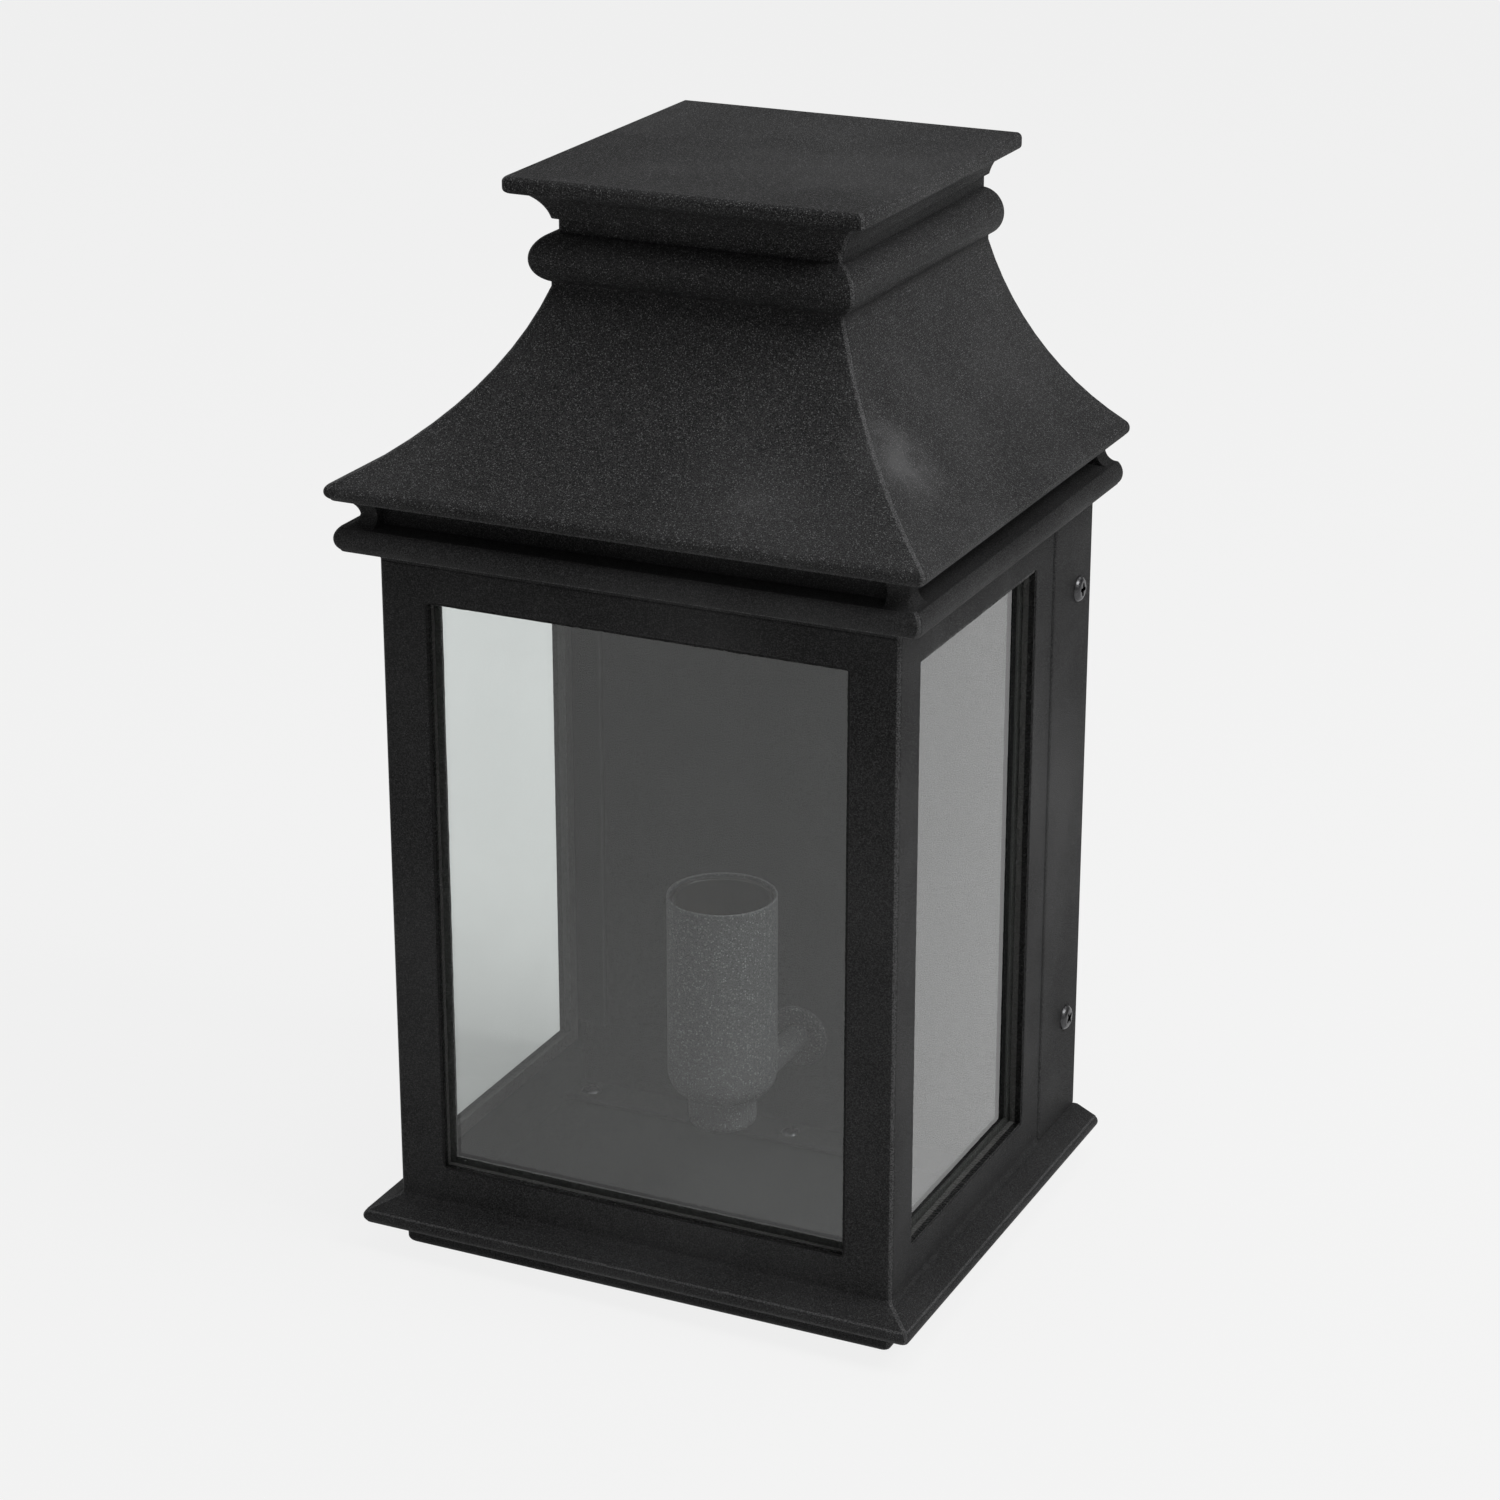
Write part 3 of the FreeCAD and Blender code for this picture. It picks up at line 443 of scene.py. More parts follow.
def draw(bm, plane, vert, steps, arc_step=ARC_STEP):
    """Draws a chain of edges from vert and returns its vertices.

    A step is a point on the plane, and a third value is the bulge of an arc to it.
    """
    tight = bm.verts.layers.float["tight"]
    chain = [vert]
    for a, b, *bulge in steps:
        end = Vector((a, b))
        count = len(bm.verts)
        is_tight = False
        if bulge:
            centre, radius, turn = arc(Vector(plane.read(chain[-1].co)), end, bulge[0])
            is_tight = radius < ARRIS_RADIUS
            bmesh.ops.spin(
                bm,
                geom=[chain[-1]],
                cent=plane.spot(*centre),
                axis=plane.across.cross(plane.up),
                angle=turn,
                steps=max(3, round(abs(turn) / arc_step)),
                use_merge=False,
            )
        else:
            corner = bmesh.ops.extrude_vert_indiv(bm, verts=[chain[-1]])["verts"][0]
            corner.co = plane.spot(*end)
        bm.verts.ensure_lookup_table()
        added = bm.verts[count:]
        for spot in added:
            spot[tight] = is_tight
        if is_tight:
            chain[-1][tight] = True
        chain.extend(added)
    return chain


def close(bm, chain):
    """Joins the end of a chain to its start."""
    bm.edges.new((chain[-1], chain[0]))


def soften(bm, edges, width, segments=2, rub=1.0):
    """Rounds edges and marks how far the new faces are painted lighter, as worn edges and painted edge
    highlight.
    """
    mark = bm.faces.layers.float["arris"]
    made = bmesh.ops.bevel(
        bm,
        geom=edges,
        offset=width,
        offset_type="OFFSET",
        segments=segments,
        profile=0.5,
        affect="EDGES",
        clamp_overlap=True,
        material=-1,
    )
    for face in made["faces"]:
        face[mark] = rub


def join(target, shell):
    """Adds a finished shell to a piece's mesh."""
    bmesh.ops.recalc_face_normals(shell, faces=shell.faces)
    mesh = bpy.data.meshes.new("shell")
    shell.to_mesh(mesh)
    shell.free()
    target.from_mesh(mesh)
    bpy.data.meshes.remove(mesh)


def block(low, high, arris=0.0):
    """A rectangular shell with its edges rounded."""
    bm = fresh()
    size = Vector(high) - Vector(low)
    middle = (Vector(high) + Vector(low)) / 2
    bmesh.ops.create_cube(bm, size=1, matrix=Matrix.Translation(middle) @ Matrix.Diagonal((*size, 1)))
    if arris:
        soften(bm, bm.edges[:], arris)
    return bm


def turned(centre, axis, start, steps, sides, arc_step=ARC_STEP, closed=True):
    """A shell turned round an axis from a profile of radius and height."""
    bm = fresh()
    side = X_AXIS if abs(axis.x) < 0.5 else Y_AXIS
    plane = Plane(centre, side, axis)
    chain = draw(bm, plane, bm.verts.new(plane.spot(*start)), steps, arc_step)
    if closed:
        close(bm, chain)
    profile = bm.verts[:] + bm.edges[:]
    bmesh.ops.spin(bm, geom=profile, cent=centre, axis=axis, angle=2 * math.pi, steps=sides, use_merge=True)
    bmesh.ops.remove_doubles(bm, verts=bm.verts, dist=NEAR)
    return bm


def mark_tight_arcs(bm):
    """Marks the faces that lie on tight arcs as arrises, which the coats paint lighter as worn edges and
    painted edge highlight.
    """
    tight = bm.verts.layers.float["tight"]
    mark = bm.faces.layers.float["arris"]
    for face in bm.faces:
        if all(vert[tight] > 0.5 for vert in face.verts):
            face[mark] = 1.0
    bm.verts.layers.float.remove(tight)


def dress(name, bm, material, slot, *nodes, smooth=35):
    """Turns a mesh into a piece of the lantern that stands for its CAD nodes.

    Faces that meet at more than smooth degrees keep a sharp edge between them.
    """
    mark_tight_arcs(bm)
    bm.verts.layers.float_vector.remove(bm.verts.layers.float_vector["reach"])
    bmesh.ops.translate(bm, verts=bm.verts, vec=(0, 0, PLINTH_BOTTOM))
    mesh = bpy.data.meshes.new(name)
    bm.to_mesh(mesh)
    bm.free()
    mesh.shade_smooth()
    mesh.set_sharp_from_angle(angle=math.radians(smooth))
    mesh.materials.append(material)
    piece = bpy.data.objects.new(name, mesh)
    bpy.context.scene.collection.objects.link(piece)
    normals = piece.modifiers.new("Even shading", "WEIGHTED_NORMAL")
    normals.keep_sharp = True
    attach(piece, "root")
    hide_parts(*nodes)
    return piece


def keep_node(name, material):
    """Keeps a CAD node as it is, with a better finish."""
    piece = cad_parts[name]
    piece.data.materials.clear()
    piece.data.materials.append(material)


# Mouldings carried round the front and sides

def section(sizes):
    """The plane at the left rear where a section is drawn, as distance out from the body and height."""
    return Plane(Vector((-sizes.body_width / 2, 0, 0)), -X_AXIS, Z_AXIS)


def set_reach(bm, chain, sizes, front_of=None, back=0.0):
    """Notes how far each point of a section stands out at the side, at the front and from the wall."""
    reach = bm.verts.layers.float_vector["reach"]
    plane = section(sizes)
    for vert in chain:
        out, height = plane.read(vert.co)
        front = front_of(out, height) if front_of else out
        vert[reach] = (out, front, back)


def side_station(sizes, side, y=None):
    """A station on one side, at a depth of its own or at the section's own distance from the wall."""

    def place(reach, height):
        depth = -reach.z if y is None else y
        return Vector((side * (sizes.body_width / 2 + reach.x), depth, height))

    return [(place, False)]


def front_station(sizes, x):
    """A station on the front."""
    return [(lambda reach, height: Vector((x, -sizes.body_depth - reach.y, height)), False)]


def corner_stations(sizes, side, segments=4):
    """Stations round one front corner, from the side to the front."""
    radius = sizes.corner_round

    def at(turn):
        def place(reach, height):
            x = sizes.body_width / 2 + reach.x - radius * (1 - math.cos(turn))
            y = sizes.body_depth + reach.y - radius * (1 - math.sin(turn))
            return Vector((side * x, -y, height))

        return place

    return [(at(QUARTER * index / segments), 1 < index < segments) for index in range(segments + 1)]


def turned_back(stations):
    """The same stations the other way round, with the arris marks kept on the same faces."""
    marks = [False] + [marked for place, marked in stations[:0:-1]]
    return [(place, marked) for (place, _), marked in zip(stations[::-1], marks)]


def round_front(sizes):
    """Stations from the left side round both front corners to the right side."""
    return corner_stations(sizes, -1) + turned_back(corner_stations(sizes, 1))


def sweep(bm, edges, stations):
    """Extrudes a section through stations and returns the section's edges at each of them."""
    reach = bm.verts.layers.float_vector["reach"]
    mark = bm.faces.layers.float["arris"]
    sections = [edges]
    for place, is_arris in stations:
        count = len(bm.faces)
        added = bmesh.ops.extrude_edge_only(bm, edges=sections[-1])["geom"]
        verts = set(verts_in(added))
        for vert in verts:
            vert.co = place(vert[reach], vert.co.z)
        runs = [item for item in added if isinstance(item, bmesh.types.BMEdge)]
        sections.append([edge for edge in runs if set(edge.verts) <= verts])
        bm.faces.ensure_lookup_table()
        for face in bm.faces[count:]:
            face[mark] = 1.0 if is_arris else 0.0
    return sections


def fill_ends(bm):
    """Closes the open ends of a moulding."""
    bmesh.ops.holes_fill(bm, edges=[edge for edge in bm.edges if edge.is_boundary], sides=0)


def moulding(sizes, start, steps, stations, first):
    """A closed section carried through stations, with its ends filled."""
    bm = fresh()
    plane = section(sizes)
    chain = draw(bm, plane, bm.verts.new(plane.spot(*start)), steps)
    close(bm, chain)
    set_reach(bm, chain, sizes)
    reach = bm.verts.layers.float_vector["reach"]
    for vert in chain:
        vert.co = first[0][0](vert[reach], vert.co.z)
    sweep(bm, bm.edges[:], stations)
    fill_ends(bm)
    return bm


def set_posts(bm, sizes, start, steps):
    """Adds the posts of the shadow gap: one at each front corner and one at the rear of each side."""
    across = sizes.body_width / 2 - CORNER_POST
    along = CORNER_POST - sizes.body_depth
    for side in (-1, 1):
        corner = [(place, False) for place, _ in corner_stations(sizes, side)]
        stations = corner + front_station(sizes, side * across)
        join(bm, moulding(sizes, start, steps, stations, side_station(sizes, side, along)))
        rear = side_station(sizes, side, -REAR_POST)
        join(bm, moulding(sizes, start, steps, side_station(sizes, side), rear))


# Node trees

def node(tree, kind, inputs=None, **settings):
    """Adds a node, sets its fields and fills its inputs with values or links."""
    made = tree.nodes.new(kind)
    for name, value in settings.items():
        setattr(made, name, value)
    for name, value in (inputs or {}).items():
        if isinstance(value, bpy.types.NodeSocket):
            tree.links.new(value, made.inputs[name])
        else:
            made.inputs[name].default_value = value
    return made


def ramp(tree, value, low, high, start=0.0, end=1.0):
    """Maps a value from one range to another, held at both ends."""
    inputs = {"Value": value, "From Min": low, "From Max": high, "To Min": start, "To Max": end}
    return node(tree, "ShaderNodeMapRange", inputs, clamp=True).outputs["Result"]


def math_node(tree, operation, first, second, clamp=False):
    """Joins two values by an operation."""
    inputs = {0: first, 1: second}
    return node(tree, "ShaderNodeMath", inputs, operation=operation, use_clamp=clamp).outputs[0]


def times(tree, first, second):
    """The product of two values."""
    return math_node(tree, "MULTIPLY", first, second)


def plus(tree, first, second):
    """The sum of two values."""
    return math_node(tree, "ADD", first, second)


def mix_colour(tree, factor, first, second):
    """Mixes two colours, each a value or a link."""
    inputs = {0: factor}
    for index, tint in ((6, first), (7, second)):
        inputs[index] = tint if isinstance(tint, bpy.types.NodeSocket) else (*tint[:3], 1)
    return node(tree, "ShaderNodeMix", inputs, data_type="RGBA").outputs[2]


def object_place(tree):
    """Object coordinates."""
    return node(tree, "ShaderNodeTexCoord").outputs["Object"]


def noise_value(tree, place, scale, detail, roughness, distortion=0.0):
    """The value of a noise texture."""
    inputs = {
        "Vector": place,
        "Scale": scale,
        "Detail": detail,
        "Roughness": roughness,
        "Distortion": distortion,
    }
    return node(tree, "ShaderNodeTexNoise", inputs).outputs["Fac"]


def mesh_mark(tree):
    """The mark on the faces: on the castings, arrises painted lighter as worn edges and painted edge
    highlight; on the sealant, a paler grey.
    """
    return node(tree, "ShaderNodeAttribute", attribute_name="arris").outputs["Fac"]


def bump(tree, shader, height, distance, strength):
    """Raises a surface by a value."""
    made = node(tree, "ShaderNodeBump", {"Height": height, "Distance": distance, "Strength": strength})
    tree.links.new(made.outputs["Normal"], shader.inputs["Normal"])


def shade(tint, *shares):
    """A colour made darker or lighter by one share, or by one for each channel."""
    return [min(1.0, share * value) for share, value in zip(shares * 3, tint)]


def group(name, inputs, outputs):
    """A new shader node group with named float inputs and outputs."""
    tree = bpy.data.node_groups.new(name, "ShaderNodeTree")
    for label, value in inputs.items():
        socket = tree.interface.new_socket(name=label, in_out="INPUT", socket_type="NodeSocketFloat")
        socket.default_value = value
    for label in outputs:
        tree.interface.new_socket(name=label, in_out="OUTPUT", socket_type="NodeSocketFloat")
    return tree, tree.nodes.new("NodeGroupInput").outputs, tree.nodes.new("NodeGroupOutput").inputs


def spoken(name):
    """A name in code as it reads on a label."""
    return name.replace("_", " ").capitalize()


def use_group(tree, maker, **inputs):
    """Places a node group, which its maker builds the first time, and returns its outputs."""
    name = spoken(maker.__name__)
    item = node(tree, "ShaderNodeGroup", node_tree=bpy.data.node_groups.get(name) or maker(name))
    for label, value in inputs.items():
        item.inputs[spoken(label)].default_value = value
    return item.outputs


def sandy_grain(name):
    """Fine raised grains of a sandy coat, bright points among them as painted glints, and soft clouds where
    it lies thinner.
    """
    tree, given, out = group(name, {"Grain scale": 1500.0, "Cloud scale": 14.0}, ["Grain", "Spark", "Cloud"])
    place = object_place(tree)
    grain = ramp(tree, noise_value(tree, place, given[0], 2.0, 0.7), 0.44, 0.62)
    cells = node(tree, "ShaderNodeTexVoronoi", {"Vector": place, "Scale": given[0], "Randomness": 1.0})
    tone = node(tree, "ShaderNodeSeparateColor", {"Color": cells.outputs["Color"]}).outputs[0]
    near = ramp(tree, cells.outputs["Distance"], 0.55, 0.25)
    glint = times(tree, ramp(tree, tone, 0.66, 0.98), near)
    cloud = ramp(tree, noise_value(tree, place, given[1], 3.0, 0.5), 0.42, 0.72)
    for index, value in enumerate((grain, glint, cloud)):
        tree.links.new(value, out[index])
    return tree


def surface_marks(name):
    """Faint smears and specks of dust, for glass, sealant, metal and mouldings."""
    tree, given, out = group(name, {"Smear scale": 18.0, "Speck scale": 700.0}, ["Smear", "Speck"])
    place = object_place(tree)
    smear = noise_value(tree, place, given[0], 4.0, 0.55, 0.8)
    speck = noise_value(tree, place, given[1], 2.0, 0.5)
    tree.links.new(ramp(tree, smear, 0.40, 0.75), out[0])
    tree.links.new(ramp(tree, speck, 0.45, 0.75), out[1])
    return tree


def scuffs(name):
    """Soft broken pale patches at set places on the roof, the one beside the right hip a painted highlight.
    """
    tree, given, out = group(name, {"Strength": 1.0}, ["Scuff"])
    place = object_place(tree)
    blotch = noise_value(tree, place, 75.0, 3.0, 0.6)
    total = 0.0
    for pale_patch in PALE_PATCHES:
        ends = {0: place, 1: pale_patch.centre}
        apart = node(tree, "ShaderNodeVectorMath", ends, operation="DISTANCE").outputs["Value"]
        near = ramp(tree, apart, pale_patch.radius, 0.0, 0.0, pale_patch.share)
        total = plus(tree, total, times(tree, near, near))
    broken = times(tree, total, ramp(tree, blotch, 0.35, 0.6, 0.35, 1.15))
    tree.links.new(math_node(tree, "MULTIPLY", broken, given[0], clamp=True), out[0])
    return tree


# Finishes

def finished(name, maker, *values):
    """The material of a name, which its maker builds the first time."""
    return bpy.data.materials.get(name) or maker(name, *values)


def new_material(name, values):
    """A material with a Principled BSDF whose constant sockets are set."""
    made = bpy.data.materials.new(name)
    made.use_nodes = True
    tree = made.node_tree
    shader = tree.nodes["Principled BSDF"]
    for label, value in values.items():
        shader.inputs[label].default_value = value
    return made, tree, shader


def show_surface(tree, mixed):
    """Makes a mixed shader the material's surface."""
    tree.links.new(mixed.outputs[0], tree.nodes["Material Output"].inputs["Surface"])


def coat_material(name, tint, grain_tint, grain_scale, depth, low_glints):
    """Sandy black powder coat: dark ground, lighter grains, arrises painted lighter as worn edges and painted
    edge highlights, pale patches, one a painted highlight, and faint clouds.

    The grain is painted stronger on the roof, where light grazes it, and only a share of the painted glints
    is left under the eave.
    """
    made, tree, shader = new_material(name, {"Specular IOR Level": 0.10})
    grain, glint, cloud = use_group(tree, sandy_grain, grain_scale=grain_scale, cloud_scale=13.0)
    # Pale patches on the roof, one a painted highlight beside the right hip, raise the grain and lighten the
    # coat
    pale_patch = use_group(tree, scuffs, strength=1.0)[0]
    height = node(tree, "ShaderNodeSeparateXYZ", {"Vector": object_place(tree)}).outputs["Z"]
    grain_share = ramp(tree, pale_patch, 0.0, 1.0, 0.42, 1.0)
    # The grain is painted stronger on the roof, where light grazes it
    amount = times(tree, grain_share, ramp(tree, height, *EAVE_FADE, 1.0, ROOF_LIT_GRAIN))
    ground = mix_colour(tree, times(tree, grain, amount), tint, grain_tint)
    pale = plus(tree, times(tree, cloud, 0.22), times(tree, pale_patch, 0.9))
    clouded = mix_colour(tree, pale, ground, grain_tint)
    bright = shade(grain_tint, 2.2)
    # Arrises painted lighter: partly worn edges, partly painted edge highlight
    edge_wear_and_sheen = times(tree, mesh_mark(tree), ramp(tree, grain, 0.0, 1.0, 0.10, 0.45))
    edged = mix_colour(tree, edge_wear_and_sheen, clouded, bright)
    # Painted glints: in full on the roof, and only a share of them under the eave
    shown = times(tree, glint, ramp(tree, height, *EAVE_FADE, low_glints, 1.0))
    tree.links.new(mix_colour(tree, shown, edged, bright), shader.inputs["Base Color"])
    tree.links.new(ramp(tree, cloud, 0.0, 1.0, 0.62, 0.50), shader.inputs["Roughness"])
    bump(tree, shader, grain, depth, 0.8)
    return made


def cast_coat(finish):
    """The coat on the castings and the pan."""
    values = (finish.coat, finish.coat_grain, CAST_GRAIN, CAST_GRAIN_DEPTH, CAST_LOW_GLINTS)
    return finished("cast_coat", coat_material, *values)


def holder_coat(finish):
    """The lighter copy of the coat on the lampholder and its arm, painted light inside the lantern."""
    values = (finish.holder_coat, finish.holder_grain, HOLDER_GRAIN, HOLDER_GRAIN_DEPTH, HOLDER_LOW_GLINTS)
    return finished("holder_coat", coat_material, *values)


def glass_material(name, tint):
    """Clear soda glass with a faint green tint and faint smears; it lets light through to the inside."""
    made, tree, shader = new_material(name, {"Transmission Weight": 1.0, "IOR": 1.5, "Roughness": 0.0})
    smear = use_group(tree, surface_marks, smear_scale=11.0, speck_scale=260.0)[0]
    tree.links.new(mix_colour(tree, smear, tint, shade(tint, 0.97)), shader.inputs["Base Color"])
    clear = node(tree, "ShaderNodeBsdfTransparent", {"Color": (0.96, 0.972, 0.968, 1)})
    path = node(tree, "ShaderNodeLightPath").outputs
    through = math_node(tree, "MAXIMUM", path["Is Shadow Ray"], path["Is Diffuse Ray"])
    inputs = {0: through, 1: shader.outputs[0], 2: clear.outputs[0]}
    show_surface(tree, node(tree, "ShaderNodeMixShader", inputs))
    return made


def window_glass(finish):
    """The glass of the panes."""
    return finished("window_glass", glass_material, finish.glass)


def sealant_material(name, tint, pale_tint):
    """Black sealant, pitted by small bubbles, and a paler grey where it is marked."""
    made, tree, shader = new_material(name, {"Specular IOR Level": 0.15})
    smear, speck = use_group(tree, surface_marks, smear_scale=60.0, speck_scale=900.0)
    clean = mix_colour(tree, smear, tint, shade(tint, 3.0))
    tree.links.new(mix_colour(tree, mesh_mark(tree), clean, pale_tint), shader.inputs["Base Color"])
    tree.links.new(ramp(tree, smear, 0.0, 1.0, 0.34, 0.55), shader.inputs["Roughness"])
    bump(tree, shader, math_node(tree, "SUBTRACT", smear, speck), 0.6 * MM, 0.8)
    return made


def bubbly_sealant(finish):
    """The sealant round the panes."""
    return finished("bubbly_sealant", sealant_material, finish.sealant, finish.seal_dust)


def metal_material(name, tint, stain, roughness, smear_scale):
    """Bare or plated metal with uneven tone and a brushed, handled sheen."""
    made, tree, shader = new_material(name, {"Metallic": 1.0})
    smear, speck = use_group(tree, surface_marks, smear_scale=smear_scale, speck_scale=900.0)
    stained = times(tree, smear, 0.7)
    tree.links.new(mix_colour(tree, stained, tint, stain), shader.inputs["Base Color"])
    worn = plus(tree, stained, times(tree, speck, 0.3))
    dulled = ramp(tree, worn, 0.0, 1.0, roughness - 0.08, roughness + 0.16)
    tree.links.new(dulled, shader.inputs["Roughness"])
    bump(tree, shader, speck, 0.05 * MM, 0.4)
    return made


def zinc_plate(finish):
    """Dull zinc plate, for the bracket and the hidden screws."""
    return finished("dull_zinc", metal_material, finish.zinc, shade(finish.zinc, 0.72), 0.36, 90.0)


def black_screw(finish):
    """Blackened steel, for the screws that show."""
    return finished("black_screw", metal_material, finish.screw, shade(finish.screw, 1.9), 0.34, 300.0)


def bare_brass(finish):
    """Bare brass, for the contacts and the nut."""
    stain = shade(finish.brass, 0.62, 0.56, 0.5)
    return finished("bare_brass", metal_material, finish.brass, stain, 0.30, 70.0)


def moulding_material(name, tint, tone, roughness):
    """Moulded plastic or rubber with slight flow marks and a fine texture."""
    made, tree, shader = new_material(name, {"Specular IOR Level": 0.45})
    smear, speck = use_group(tree, surface_marks, smear_scale=45.0, speck_scale=1300.0)
    tree.links.new(mix_colour(tree, smear, tint, shade(tint, tone)), shader.inputs["Base Color"])
    tree.links.new(ramp(tree, smear, 0.0, 1.0, roughness, roughness + 0.12), shader.inputs["Roughness"])
    bump(tree, shader, speck, 0.06 * MM, 0.5)
    return made


def black_moulding(finish):
    """Black moulded plastic, for the lampholder."""
    return finished("holder_moulding", moulding_material, finish.black_moulding, 1.6, 0.32)


def white_moulding(finish):
    """White moulded plastic, for the terminal block."""
    return finished("terminal_moulding", moulding_material, finish.white_moulding, 0.9, 0.42)


def black_rubber(finish):
    """Black rubber, for the grommet."""
    return finished("grommet_rubber", moulding_material, finish.rubber, 1.7, 0.6)


# Pieces

class LANTERN_OT_roof(bpy.types.Operator):
    """Make the roof casting: hollow hipped slope, torus, cavetto and slab over a shadow gap"""

    bl_idname = "lantern.roof"
    bl_label = "Roof casting"

    def execute(self, context):
        sizes = context.scene.lantern_sizes
        bm = self.shell(sizes)
        self.add_posts(bm, sizes)
        dress("roof", bm, cast_coat(context.scene.lantern_finish), "black_coat", "roof_casting")
        return {"FINISHED"}

    def shell(self, sizes):
        """The hollow casting: one section, inside and outside, carried round both front corners."""
        bm = fresh()
        plane = section(sizes)
        nose = sizes.eave_out - EAVE_NOSE
        crown = sizes.eave_out - sizes.side_inset
        shift = sizes.front_inset - sizes.side_inset
        roof_end = EAVE_TOP + sizes.roof_rise
        torus_start = roof_end + FILLET
        torus_end = torus_start + TORUS_HEIGHT
        cavetto = torus_end + NECK_HEIGHT
        slab_under = cavetto + CAVETTO_HEIGHT
        slab_top = slab_under + SLAB_HEIGHT
        slab = crown + SLAB_OUT
        neck = crown - NECK_IN
        inner_crown = crown - CROWN_WALL
        ring = -EAVE_RING

        def hollow_front(out, height):
            return out - shift * (ring - out) / (ring - inner_crown)

        def slope_front(out, height):
            if height <= EAVE_TOP + NEAR:
                return out
            if height >= roof_end - NEAR:
                return out - shift
            return nose - (nose - out) * (nose - crown + shift) / (nose - crown)

        start = bm.verts.new(plane.spot(inner_crown, slab_top - SLAB_WALL))
        hollow = draw(bm, plane, start, [
            (inner_crown, roof_end - HOLLOW_SHOULDER),
            (ring, BODY_TOP + HOLLOW_FOOT, -HOLLOW_SAG),
            (ring, BODY_TOP),
        ])
        outer = draw(bm, plane, hollow[-1], [
            (ROOF_GAP_WALL, BODY_TOP),
            (ROOF_GAP_WALL, EAVE_UNDER),
            (nose - EAVE_LIP, EAVE_UNDER),
            (nose, EAVE_UNDER + EAVE_LIP, -cove(EAVE_LIP)),
            (nose, EAVE_TOP, -EAVE_BULGE),
            (crown, roof_end, sizes.roof_sag),
            (crown, torus_start),
            (neck, torus_end, -TORUS_BULGE),
            (neck, cavetto),
            (neck + CAVETTO_LEDGE, cavetto),
            (neck + CAVETTO_OUT, slab_under, CAVETTO_HOLLOW),
            (slab - SLAB_EDGE, slab_under),
            (slab, slab_under + SLAB_EDGE, -cove(SLAB_EDGE)),
            (slab, slab_top - SLAB_EDGE),
            (slab - SLAB_EDGE, slab_top, -cove(SLAB_EDGE)),
        ], SLOPE_ARC_STEP)
        set_reach(bm, outer[1:], sizes, slope_front)
        set_reach(bm, hollow, sizes, hollow_front, REAR_WALL)
        reach = bm.verts.layers.float_vector["reach"]
        for vert in bm.verts:
            vert.co.y = -vert[reach].z
        sections = sweep(bm, bm.edges[:], round_front(sizes) + side_station(sizes, 1))
        bmesh.ops.bridge_loops(bm, edges=sections[0] + sections[-1])
        fill_ends(bm)
        bmesh.ops.recalc_face_normals(bm, faces=bm.faces)
        return bm

    def add_posts(self, bm, sizes):
        """Adds the upper halves of the posts in the shadow gap."""
        steps = [
            (NECK_OUT, BODY_TOP),
            (sizes.eave_out - POST_HEAD_IN, EAVE_UNDER, POST_HEAD_HOLLOW),
            (ROOF_GAP_WALL, EAVE_UNDER),
        ]
        set_posts(bm, sizes, (ROOF_GAP_WALL, BODY_TOP), steps)


